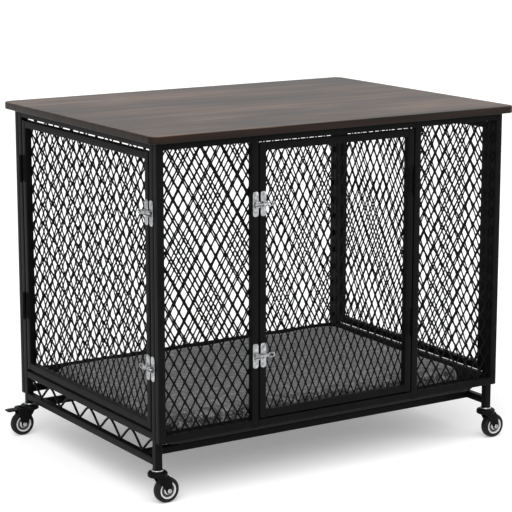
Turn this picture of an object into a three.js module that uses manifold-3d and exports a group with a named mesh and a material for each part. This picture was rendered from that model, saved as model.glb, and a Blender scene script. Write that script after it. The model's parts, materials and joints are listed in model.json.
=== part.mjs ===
// A furniture-style dog crate on four swivel casters. The frame is welded square tube with expanded
// metal panels, a wooden tabletop, a front door, a door in the left side, and a hanging tray with a mat.
// Millimetres, +Z up. The front faces -Y, and the floor is at z = 0.

import * as THREE from 'three';
import { mergeGeometries, mergeVertices } from 'three/addons/utils/BufferGeometryUtils.js';
import Module from 'manifold-3d';

const wasm = await Module();
wasm.setup();

// ---------------------------------------------------------------- driving dimensions
const FRAME_LENGTH = 835;          // outer size of the tube frame along X
const FRAME_DEPTH = 610;           // outer size of the tube frame along Y
const CABIN_HEIGHT = 556;          // from the middle rails up to the top rails
const TUBE = 15;                   // square tube
const CONTACT_GAP = 0.3;           // clearance between pieces that rest on each other

const TOP_OVERHANG = 20;           // tabletop beyond the frame, all round
const TOP_THICKNESS = 15;
const TOP_CORNER = 20;

const LEG_STUB = 8;                // leg below the low rails
const TRUSS_HEIGHT = 36;           // between the low and the middle rails
const FRONT_DROP = 3;              // front panel's bottom rail below the middle rails
const BACK_RISE = 12;              // back panel's lower edge above the low rails' underside
const CROSS_BAR_INSET = 79;        // from the frame's face to the cross bar's face

const FRONT_OPENING = 380;         // clear width of the front doorway
const DOOR_GAP = 3;                // running gap at the sides of a door
const SIDE_DOOR_GAP_Z = 6;         // gap above and below the side door

const SPACER_HEIGHT = 20;          // welded between the right panel and the legs
const SPACER_FROM_END = 40;

const LATTICE_THICKNESS = 1.5;     // expanded metal sheet
const LATTICE_STRAND = 4;
const LATTICE_BAND = 3;            // plain edge that is welded to the tubes
const LATTICE_INSET = 0.5;         // from the tubes' inner face
const DIAMOND_WIDTH = 38;          // largest spacing of the lattice holes
const DIAMOND_HEIGHT = 240;

const TRUSS_WIRE = 5;
const TRUSS_BAYS = 6;
const TRUSS_FLAT_TOP = 16;
const TRUSS_FLAT_BOTTOM = 4;

const TRAY_DEPTH = 35;             // from the rail's top down to the tray's underside
const TRAY_SHEET = 1.2;
const TRAY_CLEARANCE = 1.5;        // between the tray's top edge and the frame
const TRAY_TAPER_X = 18;           // how far each end wall leans in
const TRAY_TAPER_Y = 14;
const TRAY_RIM = 11;               // width of the rim that rests on the middle rails
const MAT_MARGIN_X = 8;
const MAT_MARGIN_Y = 24;
const MAT_THICKNESS = 41;
const MAT_CORNER = 30;
const MAT_ROUND = 8;

const HINGE_HEIGHT = 56;
const HINGE_LEAF = 11;             // width of each leaf
const HINGE_SHEET = 1.8;
const KNUCKLE_RADIUS = 3.5;
const KNUCKLE_STAND_OFF = 1.3;     // from the knuckle to the frame's face
const KNUCKLE_CLEARANCE = 0.47;    // from the knuckle to the other leaf
const KNUCKLE_MIDDLE = 19.4;       // length of the door leaf's knuckle
const HINGE_PIN_RADIUS = 1.8;
const HINGE_PIN_CLEARANCE = 0.5;
const HINGE_RISES = { upper: 446, lower: 146 };    // above the middle rails

const LATCH_PLATE_HEIGHT = 50;
const LATCH_PLATE_WIDTH = 13;
const LATCH_SHEET = 1.5;
const LATCH_AXIS_OUT = 6.2;        // bolt axis in front of the frame's face
const BOLT_RADIUS = 2.5;
const BOLT_CLEARANCE = 0.4;
const BOLT_REACH = 14;             // bolt's tip beyond the middle of the door gap
const GUIDE_WIDTH = 10;            // block on the door that guides the bolt
const GUIDE_HEIGHT = 10;
const GUIDE_DEPTH = 10.2;
const KEEPER_LUG = 3.2;
const LOOP_LENGTH = 16;            // finger loop on the bolt's end
const LOOP_HEIGHT = 10;
const LOOP_SHEET = 2;
const LOOP_SLOT = 3.6;
const LATCH_RISES = { upper: 434, lower: 129 };    // above the middle rails

const WHEEL_RADIUS = 26;
const WHEEL_CLEARANCE = 4.3;       // between the tread and the fork's crown
const TYRE_WIDTH = 18;
const TYRE_DEPTH = 8;              // tread to hub
const HUB_WIDTH = 20;
const AXLE_RADIUS = 3;
const AXLE_CLEARANCE = 0.4;
const CASTER_TRAIL = 19;
const FORK_SHEET = 2;
const FORK_GAP = 1;                // between the hub and each arm
const CROWN_RADIUS = 20;
const CROWN_THICKNESS = 10.4;
const STEM_RADIUS = 4;
const STEM_FLANGE_RADIUS = 12;
const STEM_FLANGE = 3;
const STEM_HEAD_RADIUS = 7;
const STEM_HEAD = 3.5;
const STEM_CLEARANCE = 0.5;
const PEDAL_REACH = 56;            // from the stem to the pedal's end
const PEDAL_OFFSET = 7;            // pivot beyond the fork's crown
const PEDAL_RISE = 7;              // pivot above the wheel
const PEDAL_BARREL_RADIUS = 4.2;
const PEDAL_PIN_RADIUS = 2;
const PEDAL_SHEET = 3;

// ---------------------------------------------------------------- derived places
const HALF_X = FRAME_LENGTH / 2;
const HALF_Y = FRAME_DEPTH / 2;
const LEG_OUTER_Y = HALF_Y - TUBE;             // the side frames stand between front and back panels
const LEG_INNER_Y = LEG_OUTER_Y - TUBE;
const CROWN_BOTTOM = 2 * WHEEL_RADIUS + WHEEL_CLEARANCE;
const CROWN_TOP = CROWN_BOTTOM + CROWN_THICKNESS;
const LEG_BOTTOM = CROWN_TOP + CONTACT_GAP + STEM_FLANGE;
const LOW_RAIL_Z = LEG_BOTTOM + LEG_STUB;
const MID_RAIL_Z = LOW_RAIL_Z + TUBE + TRUSS_HEIGHT;
const MID_RAIL_TOP = MID_RAIL_Z + TUBE;
const RAIL_UNDERSIDE = MID_RAIL_TOP + CABIN_HEIGHT;
const FRAME_TOP = RAIL_UNDERSIDE + TUBE;
const FRONT_BOTTOM = MID_RAIL_Z - FRONT_DROP;
const BACK_BOTTOM = LOW_RAIL_Z + BACK_RISE;
const DOORWAY_HALF = FRONT_OPENING / 2;
const FRONT_DOOR_HALF = DOORWAY_HALF - DOOR_GAP;
const FRONT_DOOR_Z = [FRONT_BOTTOM + TUBE + DOOR_GAP, RAIL_UNDERSIDE - DOOR_GAP];
const SIDE_DOOR_HALF = LEG_INNER_Y - DOOR_GAP;
const SIDE_DOOR_Z = [MID_RAIL_TOP + SIDE_DOOR_GAP_Z, RAIL_UNDERSIDE - SIDE_DOOR_GAP_Z];
const FRONT_SEAM = DOORWAY_HALF - DOOR_GAP / 2;
const SIDE_SEAM = LEG_INNER_Y - DOOR_GAP / 2;
const HINGE_PIN_OUT = KNUCKLE_RADIUS + KNUCKLE_STAND_OFF;
const LEAF_START = Math.sqrt((KNUCKLE_RADIUS + KNUCKLE_CLEARANCE) ** 2 - (HINGE_PIN_OUT - HINGE_SHEET) ** 2);
const PEDAL_PIVOT_X = CROWN_RADIUS + PEDAL_OFFSET;
const PEDAL_PIVOT_Z = 2 * WHEEL_RADIUS + PEDAL_RISE;
const TRUSS_PERIOD = (2 * LEG_INNER_Y - TRUSS_FLAT_TOP - 2 * CONTACT_GAP) / TRUSS_BAYS;
const STEM_X = HALF_X - TUBE / 2;
const STEM_Y = LEG_OUTER_Y - TUBE / 2;

// ---------------------------------------------------------------- materials
const FINISHES = {
  black: { color: 0x1c1c1e, roughness: 0.5, metalness: 0.4 },
  wood: { color: 0x4a3427, roughness: 0.55, metalness: 0 },
  plush: { color: 0x8c8c90, roughness: 1, metalness: 0 },
  zinc: { color: 0xd2d4d6, roughness: 0.25, metalness: 1 },
  tyre: { color: 0x17171a, roughness: 0.8, metalness: 0 },
  hub: { color: 0xa8a8aa, roughness: 0.5, metalness: 0.1 },
};

const crate = new THREE.Group();

function add(parent, name, geometry, finish) {
  const mesh = new THREE.Mesh(geometry, new THREE.MeshStandardMaterial(FINISHES[finish]));
  mesh.name = name;
  parent.add(mesh);
  return mesh;
}

// ---------------------------------------------------------------- solids and booleans
function toSolid(geometry) {
  const plain = geometry.clone();
  plain.deleteAttribute('normal');
  plain.deleteAttribute('uv');
  const merged = mergeVertices(plain, 1e-4);
  return new wasm.Manifold(new wasm.Mesh({
    numProp: 3,
    vertProperties: new Float32Array(merged.attributes.position.array),
    triVerts: new Uint32Array(merged.index.array),
  }));
}

function toGeometry(solid) {
  const mesh = solid.getMesh();
  const geometry = new THREE.BufferGeometry();
  geometry.setAttribute('position', new THREE.BufferAttribute(new Float32Array(mesh.vertProperties), 3));
  geometry.setIndex(new THREE.BufferAttribute(new Uint32Array(mesh.triVerts), 1));
  geometry.computeVertexNormals();
  return geometry;
}

function join(pieces, cuts = []) {
  let solid = toSolid(pieces[0]);
  for (const piece of pieces.slice(1)) solid = solid.add(toSolid(piece));
  for (const cut of cuts) solid = solid.subtract(toSolid(cut));
  return toGeometry(solid);
}

// Boxes and cylinders given by their limits.
function box(x, y, z) {
  const geometry = new THREE.BoxGeometry(x[1] - x[0], y[1] - y[0], z[1] - z[0]);
  return geometry.translate((x[0] + x[1]) / 2, (y[0] + y[1]) / 2, (z[0] + z[1]) / 2);
}

function rodX(radius, x, y, z, sides = 12) {
  const geometry = new THREE.CylinderGeometry(radius, radius, x[1] - x[0], sides);
  return geometry.rotateZ(Math.PI / 2).translate((x[0] + x[1]) / 2, y, z);
}

function rodY(radius, x, y, z, sides = 12) {
  return new THREE.CylinderGeometry(radius, radius, y[1] - y[0], sides).translate(x, (y[0] + y[1]) / 2, z);
}

function rodZ(radius, x, y, z, sides = 16) {
  const geometry = new THREE.CylinderGeometry(radius, radius, z[1] - z[0], sides);
  return geometry.rotateX(Math.PI / 2).translate(x, y, (z[0] + z[1]) / 2);
}

// ---------------------------------------------------------------- panels
// A panel is drawn from outside: x to the right, y inwards from its outer face, z up.
function rectangle(x, z) {
  return [[x[0], z[0]], [x[1], z[0]], [x[1], z[1]], [x[0], z[1]]];
}

function plate(points, depth) {
  const shape = new THREE.Shape(points.map(([x, z]) => new THREE.Vector2(x, z)));
  const geometry = new THREE.ExtrudeGeometry(shape, { depth: depth[1] - depth[0], bevelEnabled: false });
  return geometry.rotateX(Math.PI / 2).translate(0, depth[1], 0);
}

// The holes keep clear of each other, so one cut takes them all.
function panel(points, holes, depth) {
  if (holes.length === 0) return plate(points, depth);
  const through = [depth[0] - 1, depth[1] + 1];
  return join([plate(points, depth)], [mergeGeometries(holes.map((hole) => plate(hole, through)))]);
}

// Cuts a polygon at one side of a rectangle.
function clip(points, axis, limit, keepBelow) {
  const inside = (point) => (keepBelow ? point[axis] <= limit : point[axis] >= limit);
  const result = [];
  points.forEach((point, i) => {
    const next = points[(i + 1) % points.length];
    if (inside(point)) result.push(point);
    if (inside(point) !== inside(next)) {
      const share = (limit - point[axis]) / (next[axis] - point[axis]);
      result.push([0, 1].map((k) => point[k] + share * (next[k] - point[k])));
    }
  });
  return result;
}

function area(points) {
  const cross = (p, q) => p[0] * q[1] - q[0] * p[1];
  return Math.abs(points.reduce((sum, p, i) => sum + cross(p, points[(i + 1) % points.length]), 0)) / 2;
}

// Expanded metal in a window: staggered diamond holes inside a plain band.
function lattice(x, z) {
  const columns = Math.ceil((x[1] - x[0]) / DIAMOND_WIDTH);
  const rows = Math.round((z[1] - z[0]) / DIAMOND_HEIGHT);
  const width = (x[1] - x[0]) / columns;
  const height = (z[1] - z[0]) / rows;
  const halfWidth = width / 2 - (LATTICE_STRAND / 2) * Math.hypot(1, width / height);
  const halfHeight = (halfWidth * height) / width;
  const holes = [];
  for (let row = 0; row <= 2 * rows; row += 1) {
    for (let column = row % 2; column <= 2 * columns; column += 2) {
      const [cx, cz] = [x[0] + (column * width) / 2, z[0] + (row * height) / 2];
      let hole = [[cx - halfWidth, cz], [cx, cz - halfHeight], [cx + halfWidth, cz], [cx, cz + halfHeight]];
      hole = clip(hole, 0, x[0] + LATTICE_BAND, false);
      hole = clip(hole, 0, x[1] - LATTICE_BAND, true);
      hole = clip(hole, 1, z[0] + LATTICE_BAND, false);
      hole = clip(hole, 1, z[1] - LATTICE_BAND, true);
      if (hole.length > 2 && area(hole) > 40) holes.push(hole);
    }
  }
  const inner = TUBE - LATTICE_INSET;
  return panel(rectangle(x, z), holes, [inner - LATTICE_THICKNESS, inner]);
}

function tubeFrame(x, z, windows) {
  return panel(rectangle(x, z), windows.map(([wx, wz]) => rectangle(wx, wz)), [0, TUBE]);
}

// ---------------------------------------------------------------- hinges and latches
// Both are drawn around the door's seam, for a hinge with its door on the left and a latch with its
// door on the right. A half turn about Y gives the other hand.
function hingeFrameLeaf() {
  const [half, middle] = [HINGE_HEIGHT / 2, KNUCKLE_MIDDLE / 2 + CONTACT_GAP];
  const pieces = [
    box([LEAF_START, LEAF_START + HINGE_LEAF], [-HINGE_SHEET, 0], [-half, half]),
    rodZ(HINGE_PIN_RADIUS, 0, -HINGE_PIN_OUT, [-half, half], 12),
  ];
  for (const z of [[middle, half], [-half, -middle]]) {
    pieces.push(rodZ(KNUCKLE_RADIUS, 0, -HINGE_PIN_OUT, z));
    pieces.push(box([-0.5, LEAF_START + 1], [-HINGE_SHEET, 0], z));
  }
  return join(pieces);
}

function hingeDoorLeaf() {
  const [half, middle] = [HINGE_HEIGHT / 2, KNUCKLE_MIDDLE / 2];
  const pieces = [
    box([-LEAF_START - HINGE_LEAF, -LEAF_START], [-HINGE_SHEET, 0], [-half, half]),
    rodZ(KNUCKLE_RADIUS, 0, -HINGE_PIN_OUT, [-middle, middle]),
    box([-LEAF_START - 1, 0.5], [-HINGE_SHEET, 0], [-middle, middle]),
  ];
  const bore = rodZ(HINGE_PIN_RADIUS + HINGE_PIN_CLEARANCE, 0, -HINGE_PIN_OUT, [-half, half], 12);
  return join(pieces, [bore]);
}

const PLATE_START = (TUBE - LATCH_PLATE_WIDTH) / 2 + DOOR_GAP / 2;

function latchPlate(side) {
  const x = [side * PLATE_START, side * (PLATE_START + LATCH_PLATE_WIDTH)].sort((a, b) => a - b);
  return box(x, [-LATCH_SHEET, 0], [-LATCH_PLATE_HEIGHT / 2, LATCH_PLATE_HEIGHT / 2]);
}

function latchHousing() {
  const middle = PLATE_START + LATCH_PLATE_WIDTH / 2;
  const x = [middle - GUIDE_WIDTH / 2, middle + GUIDE_WIDTH / 2];
  const guide = box(x, [-GUIDE_DEPTH, -LATCH_SHEET / 2], [-GUIDE_HEIGHT / 2, GUIDE_HEIGHT / 2]);
  const bore = rodX(BOLT_RADIUS + BOLT_CLEARANCE, [x[0] - 1, x[1] + 1], -LATCH_AXIS_OUT, 0);
  return join([latchPlate(1), guide], [bore]);
}

function latchKeeper() {
  const middle = PLATE_START + LATCH_PLATE_WIDTH / 2;
  const x = [-middle - GUIDE_WIDTH / 2, -middle + GUIDE_WIDTH / 2];
  const low = BOLT_RADIUS + BOLT_CLEARANCE;
  const y = [-GUIDE_DEPTH, -LATCH_SHEET / 2];
  return join([latchPlate(-1), box(x, y, [low, low + KEEPER_LUG]), box(x, y, [-low - KEEPER_LUG, -low])]);
}

function latchBolt() {
  const end = PLATE_START + LATCH_PLATE_WIDTH + 3;
  const loopX = [end - 2, end - 2 + LOOP_LENGTH];
  const loopY = [-LATCH_AXIS_OUT - LOOP_SHEET / 2, -LATCH_AXIS_OUT + LOOP_SHEET / 2];
  const loop = box(loopX, loopY, [-LOOP_HEIGHT / 2, LOOP_HEIGHT / 2]);
  const slotX = [loopX[0] + 5, loopX[1] - 2.5];
  const slot = box(slotX, [loopY[0] - 1, loopY[1] + 1], [-LOOP_SLOT / 2, LOOP_SLOT / 2]);
  return join([rodX(BOLT_RADIUS, [-BOLT_REACH, end], -LATCH_AXIS_OUT, 0), loop], [slot]);
}

// Adds a piece of hardware at a seam of a panel, turned over when the door is on the other side.
function fit(parent, name, geometry, finish, x, z, otherHand) {
  const mesh = add(parent, name, geometry, finish);
  mesh.position.set(x, 0, z);
  mesh.rotation.y = otherHand ? Math.PI : 0;
}

function addDoorHardware(parent, door, seam, otherHand) {
  const hingeX = otherHand ? -seam : seam;
  for (const [level, rise] of Object.entries(HINGE_RISES)) {
    const z = MID_RAIL_TOP + rise;
    fit(parent, `${door}_hinge_${level}_frame_leaf`, hingeFrameLeaf(), 'black', hingeX, z, otherHand);
    fit(parent, `${door}_hinge_${level}_door_leaf`, hingeDoorLeaf(), 'black', hingeX, z, otherHand);
  }
  for (const [level, rise] of Object.entries(LATCH_RISES)) {
    const z = MID_RAIL_TOP + rise;
    fit(parent, `${door}_latch_${level}_keeper`, latchKeeper(), 'zinc', -hingeX, z, otherHand);
    fit(parent, `${door}_latch_${level}_housing`, latchHousing(), 'zinc', -hingeX, z, otherHand);
    fit(parent, `${door}_latch_${level}_bolt`, latchBolt(), 'zinc', -hingeX, z, otherHand);
  }
}

function addDoor(parent, door, half, z) {
  const window = [[-half + TUBE, half - TUBE], [z[0] + TUBE, z[1] - TUBE]];
  add(parent, `${door}_frame`, tubeFrame([-half, half], z, [window]), 'black');
  add(parent, `${door}_mesh`, lattice(...window), 'black');
}

// ---------------------------------------------------------------- faces of the crate
function face(x, y, turn) {
  const group = new THREE.Group();
  group.position.set(x, y, 0);
  group.rotation.z = turn;
  crate.add(group);
  return group;
}

const front = face(0, -HALF_Y, 0);
const left = face(-HALF_X, 0, -Math.PI / 2);
const right = face(HALF_X, 0, Math.PI / 2);
const back = face(0, HALF_Y, Math.PI);

// Front panel: two stiles, two mullions beside the doorway, and two fixed meshes.
const frontWindowZ = [FRONT_BOTTOM + TUBE, RAIL_UNDERSIDE];
const sideWindow = [DOORWAY_HALF + TUBE, HALF_X - TUBE];
const frontWindows = [
  [[-sideWindow[1], -sideWindow[0]], frontWindowZ],
  [[-DOORWAY_HALF, DOORWAY_HALF], frontWindowZ],
  [sideWindow, frontWindowZ],
];
add(front, 'front_frame', tubeFrame([-HALF_X, HALF_X], [FRONT_BOTTOM, FRAME_TOP], frontWindows), 'black');
add(front, 'front_mesh_left', lattice(...frontWindows[0]), 'black');
add(front, 'front_mesh_right', lattice(...frontWindows[2]), 'black');
addDoor(front, 'front_door', FRONT_DOOR_HALF, FRONT_DOOR_Z);
addDoorHardware(front, 'front_door', FRONT_SEAM, false);

// Back panel.
const backWindow = [[-HALF_X + TUBE, HALF_X - TUBE], [BACK_BOTTOM + TUBE, RAIL_UNDERSIDE]];
add(back, 'back_frame', tubeFrame([-HALF_X, HALF_X], [BACK_BOTTOM, FRAME_TOP], [backWindow]), 'black');
add(back, 'back_mesh', lattice(...backWindow), 'black');

// Side frames: two legs with three rails between them, and a zigzag wire in the lower bay.
function sideFrame() {
  const windows = [
    [[-LEG_INNER_Y, LEG_INNER_Y], [LOW_RAIL_Z + TUBE, MID_RAIL_Z]],
    [[-LEG_INNER_Y, LEG_INNER_Y], [MID_RAIL_TOP, RAIL_UNDERSIDE]],
  ];
  const outline = [
    [-LEG_OUTER_Y, LEG_BOTTOM], [-LEG_INNER_Y, LEG_BOTTOM], [-LEG_INNER_Y, LOW_RAIL_Z],
    [LEG_INNER_Y, LOW_RAIL_Z], [LEG_INNER_Y, LEG_BOTTOM], [LEG_OUTER_Y, LEG_BOTTOM],
    [LEG_OUTER_Y, FRAME_TOP], [-LEG_OUTER_Y, FRAME_TOP],
  ];
  return panel(outline, windows.map(([x, z]) => rectangle(x, z)), [0, TUBE]);
}

// The zigzag's outline is its centre line with half a wire's width on each side.
function trussWire() {
  const half = TRUSS_WIRE / 2;
  const top = MID_RAIL_Z - half;
  const bottom = LOW_RAIL_Z + TUBE + half;
  const slope = (TRUSS_PERIOD - TRUSS_FLAT_TOP - TRUSS_FLAT_BOTTOM) / 2;
  const line = [[(-TRUSS_BAYS * TRUSS_PERIOD) / 2 - TRUSS_FLAT_TOP / 2, top]];
  for (let bay = 0; bay < TRUSS_BAYS; bay += 1) {
    const start = (bay - TRUSS_BAYS / 2) * TRUSS_PERIOD + TRUSS_FLAT_TOP / 2;
    line.push([start, top]);
    line.push([start + slope, bottom]);
    line.push([start + slope + TRUSS_FLAT_BOTTOM, bottom]);
    line.push([start + 2 * slope + TRUSS_FLAT_BOTTOM, top]);
  }
  const last = line[line.length - 1];
  line.push([last[0] + TRUSS_FLAT_TOP, top]);
  const shift = half * Math.tan(Math.atan2(top - bottom, slope) / 2);
  const sideOf = (sign) => line.map(([x, z], i) => {
    const before = i > 0 ? Math.sign(z - line[i - 1][1]) : 0;
    const after = i < line.length - 1 ? Math.sign(line[i + 1][1] - z) : 0;
    return [x - sign * shift * (before + after), z + sign * half];
  });
  const y = [(TUBE - TRUSS_WIRE) / 2, (TUBE + TRUSS_WIRE) / 2];
  return panel([...sideOf(-1), ...sideOf(1).reverse()], [], y);
}

for (const [side, group] of [['left', left], ['right', right]]) {
  add(group, `side_frame_${side}`, sideFrame(), 'black');
  add(group, `truss_wire_${side}`, trussWire(), 'black');
}
addDoor(left, 'side_door', SIDE_DOOR_HALF, SIDE_DOOR_Z);
addDoorHardware(left, 'side_door', SIDE_SEAM, true);

// The right side is the same panel, held to the legs by four welded spacers.
const rightWindowX = [-SIDE_DOOR_HALF + TUBE, SIDE_DOOR_HALF - TUBE];
const rightWindow = [rightWindowX, [SIDE_DOOR_Z[0] + TUBE, SIDE_DOOR_Z[1] - TUBE]];
const spacerLevels = [SIDE_DOOR_Z[0] + SPACER_FROM_END, SIDE_DOOR_Z[1] - SPACER_FROM_END - SPACER_HEIGHT];
const spacers = [-1, 1].flatMap((side) => spacerLevels.map((z) => {
  const x = [side * (SIDE_DOOR_HALF - 1), side * LEG_INNER_Y].sort((a, b) => a - b);
  return box(x, [2, TUBE - 2], [z, z + SPACER_HEIGHT]);
}));
const rightFrame = tubeFrame([-SIDE_DOOR_HALF, SIDE_DOOR_HALF], SIDE_DOOR_Z, [rightWindow]);
add(right, 'right_panel_frame', join([rightFrame, ...spacers]), 'black');
add(right, 'right_panel_mesh', lattice(...rightWindow), 'black');

// ---------------------------------------------------------------- tabletop, cross bars, tray and mat
function roundedRectangle(halfX, halfY, radius) {
  const shape = new THREE.Shape();
  shape.moveTo(-halfX + radius, -halfY);
  shape.lineTo(halfX - radius, -halfY);
  shape.absarc(halfX - radius, -halfY + radius, radius, -Math.PI / 2, 0);
  shape.absarc(halfX - radius, halfY - radius, radius, 0, Math.PI / 2);
  shape.absarc(-halfX + radius, halfY - radius, radius, Math.PI / 2, Math.PI);
  shape.absarc(-halfX + radius, -halfY + radius, radius, Math.PI, Math.PI * 1.5);
  return shape;
}

const topShape = roundedRectangle(HALF_X + TOP_OVERHANG, HALF_Y + TOP_OVERHANG, TOP_CORNER);
const topOptions = { depth: TOP_THICKNESS, bevelEnabled: false, curveSegments: 6 };
const topBoard = new THREE.ExtrudeGeometry(topShape, topOptions);
add(crate, 'tabletop', topBoard.translate(0, 0, FRAME_TOP), 'wood');

const barX = [-HALF_X + TUBE, HALF_X - TUBE];
const barY = HALF_Y - CROSS_BAR_INSET;
add(crate, 'cross_bar_front', box(barX, [-barY, -barY + TUBE], [LOW_RAIL_Z, LOW_RAIL_Z + TUBE]), 'black');
add(crate, 'cross_bar_back', box(barX, [barY - TUBE, barY], [LOW_RAIL_Z, LOW_RAIL_Z + TUBE]), 'black');

// A block whose four sides lean: half sizes at the bottom and at the top.
function leaningBlock(bottom, top, z) {
  const geometry = new THREE.BoxGeometry(2, 2, 2);
  const position = geometry.attributes.position;
  for (let i = 0; i < position.count; i += 1) {
    const size = position.getZ(i) < 0 ? bottom : top;
    const level = position.getZ(i) < 0 ? z[0] : z[1];
    position.setXYZ(i, position.getX(i) * size[0], position.getY(i) * size[1], level);
  }
  return geometry;
}

const TRAY_TOP = MID_RAIL_TOP + TRAY_SHEET;
const TRAY_BOTTOM = MID_RAIL_TOP - TRAY_DEPTH;
const trayTopHalf = [HALF_X - TUBE - TRAY_CLEARANCE, HALF_Y - TUBE - TRAY_CLEARANCE];
const trayBottomHalf = [trayTopHalf[0] - TRAY_TAPER_X, trayTopHalf[1] - TRAY_TAPER_Y];
const shrink = ([x, y]) => [x - TRAY_SHEET, y - TRAY_SHEET];
const trayShell = leaningBlock(trayBottomHalf, trayTopHalf, [TRAY_BOTTOM, TRAY_TOP]);
const hollowZ = [TRAY_BOTTOM + TRAY_SHEET, TRAY_TOP];
const trayHollow = leaningBlock(shrink(trayBottomHalf), shrink(trayTopHalf), hollowZ);
const trayRims = [-1, 1].map((side) => {
  const rimX = [trayTopHalf[0] - TRAY_SHEET / 2, trayTopHalf[0] + TRAY_RIM];
  const x = rimX.map((value) => side * value).sort((a, b) => a - b);
  const y = LEG_INNER_Y - TRAY_CLEARANCE;
  return box(x, [-y, y], [MID_RAIL_TOP, TRAY_TOP]);
});
add(crate, 'tray', join([trayShell, ...trayRims], [trayHollow]), 'black');

const matHalf = [trayBottomHalf[0] - MAT_MARGIN_X, trayBottomHalf[1] - MAT_MARGIN_Y];
const matShape = roundedRectangle(matHalf[0] - MAT_ROUND, matHalf[1] - MAT_ROUND, MAT_CORNER);
const matOptions = { depth: MAT_THICKNESS - 2 * MAT_ROUND, bevelSize: MAT_ROUND, bevelThickness: MAT_ROUND };
const mat = new THREE.ExtrudeGeometry(matShape, { ...matOptions, bevelSegments: 2, curveSegments: 4 });
add(crate, 'mat', mat.translate(0, 0, TRAY_BOTTOM + TRAY_SHEET + CONTACT_GAP + MAT_ROUND), 'plush');

// ---------------------------------------------------------------- casters
// Drawn around the stem with the wheel trailing along +X.
const ARM_INNER = HUB_WIDTH / 2 + FORK_GAP;
const ARM_OUTER = ARM_INNER + FORK_SHEET;

function casterStem() {
  return join([
    rodZ(STEM_FLANGE_RADIUS, 0, 0, [LEG_BOTTOM - STEM_FLANGE, LEG_BOTTOM]),
    rodZ(STEM_RADIUS, 0, 0, [CROWN_BOTTOM - CONTACT_GAP - 1, LEG_BOTTOM - STEM_FLANGE + 1], 12),
    rodZ(STEM_HEAD_RADIUS, 0, 0, [CROWN_BOTTOM - CONTACT_GAP - STEM_HEAD, CROWN_BOTTOM - CONTACT_GAP]),
  ]);
}

function forkArm(y, braked) {
  const [eye, top] = [AXLE_RADIUS + 4, CROWN_BOTTOM + 2];
  const points = [[-8, top], [CASTER_TRAIL - eye, WHEEL_RADIUS], [CASTER_TRAIL - eye / 2, WHEEL_RADIUS - eye],
    [CASTER_TRAIL + eye / 2, WHEEL_RADIUS - eye], [CASTER_TRAIL + eye, WHEEL_RADIUS]];
  const ear = PEDAL_BARREL_RADIUS;
  if (braked) {
    points.push([PEDAL_PIVOT_X + ear, PEDAL_PIVOT_Z - ear], [PEDAL_PIVOT_X + ear, PEDAL_PIVOT_Z + ear]);
    points.push([PEDAL_PIVOT_X - ear, PEDAL_PIVOT_Z + ear], [CROWN_RADIUS - 8, PEDAL_PIVOT_Z + ear]);
  } else {
    points.push([CROWN_RADIUS - 5, top]);
  }
  return panel(points, [], y);
}

function casterFork(braked) {
  const pieces = [
    rodZ(CROWN_RADIUS, 0, 0, [CROWN_BOTTOM, CROWN_TOP], 20),
    forkArm([-ARM_OUTER, -ARM_INNER], braked),
    forkArm([ARM_INNER, ARM_OUTER], braked),
    rodY(AXLE_RADIUS, CASTER_TRAIL, [-ARM_OUTER - 1, ARM_OUTER + 1], WHEEL_RADIUS),
  ];
  if (braked) pieces.push(rodY(PEDAL_PIN_RADIUS, PEDAL_PIVOT_X, [-ARM_OUTER, ARM_OUTER], PEDAL_PIVOT_Z));
  return join(pieces, [rodZ(STEM_RADIUS + STEM_CLEARANCE, 0, 0, [CROWN_BOTTOM - 1, CROWN_TOP + 1], 12)]);
}

// Rings are turned about Y, with their profile as radius and half width.
function ring(profile, sides) {
  const points = profile.map(([radius, y]) => new THREE.Vector2(radius, y));
  points.push(points[0].clone());
  return new THREE.LatheGeometry(points, sides);
}

const RIM_RADIUS = WHEEL_RADIUS - TYRE_DEPTH;

function tyre() {
  const [half, chamfer] = [TYRE_WIDTH / 2, 3];
  return ring([[RIM_RADIUS, -half], [WHEEL_RADIUS - chamfer, -half], [WHEEL_RADIUS, -half + chamfer],
    [WHEEL_RADIUS, half - chamfer], [WHEEL_RADIUS - chamfer, half], [RIM_RADIUS, half]], 24);
}

function hub() {
  const [rim, boss, bore] = [RIM_RADIUS - CONTACT_GAP, AXLE_RADIUS + 6, AXLE_RADIUS + AXLE_CLEARANCE];
  const [half, web] = [HUB_WIDTH / 2, TYRE_WIDTH / 2 - 1];
  return ring([[bore, -half], [boss, -half], [boss, -web], [rim, -web],
    [rim, web], [boss, web], [boss, half], [bore, half]], 24);
}

function brakePedal() {
  const [y, z] = [[-ARM_INNER + 0.5, ARM_INNER - 0.5], PEDAL_PIVOT_Z];
  const plate = box([PEDAL_PIVOT_X + 2.6, PEDAL_REACH], y, [z - PEDAL_SHEET / 2, z + PEDAL_SHEET / 2]);
  const bore = rodY(PEDAL_PIN_RADIUS + AXLE_CLEARANCE, PEDAL_PIVOT_X, [y[0] - 1, y[1] + 1], z);
  return join([rodY(PEDAL_BARREL_RADIUS, PEDAL_PIVOT_X, y, z), plate], [bore]);
}

function addCaster(place, x, y, turn) {
  const braked = turn !== 0;
  const group = new THREE.Group();
  group.position.set(x, y, 0);
  group.rotation.z = turn;
  crate.add(group);
  add(group, `caster_${place}_stem`, casterStem(), 'zinc');
  add(group, `caster_${place}_fork`, casterFork(braked), 'black');
  const wheel = new THREE.Group();
  wheel.position.set(CASTER_TRAIL, 0, WHEEL_RADIUS);
  group.add(wheel);
  add(wheel, `caster_${place}_tyre`, tyre(), 'tyre');
  add(wheel, `caster_${place}_hub`, hub(), 'hub');
  if (braked) add(group, `caster_${place}_pedal`, brakePedal(), 'black');
}

addCaster('front_left', -STEM_X, -STEM_Y, 0);
addCaster('front_right', STEM_X, -STEM_Y, 0);
addCaster('back_left', -STEM_X, STEM_Y, Math.PI);
addCaster('back_right', STEM_X, STEM_Y, Math.PI);

export default crate;
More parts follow.
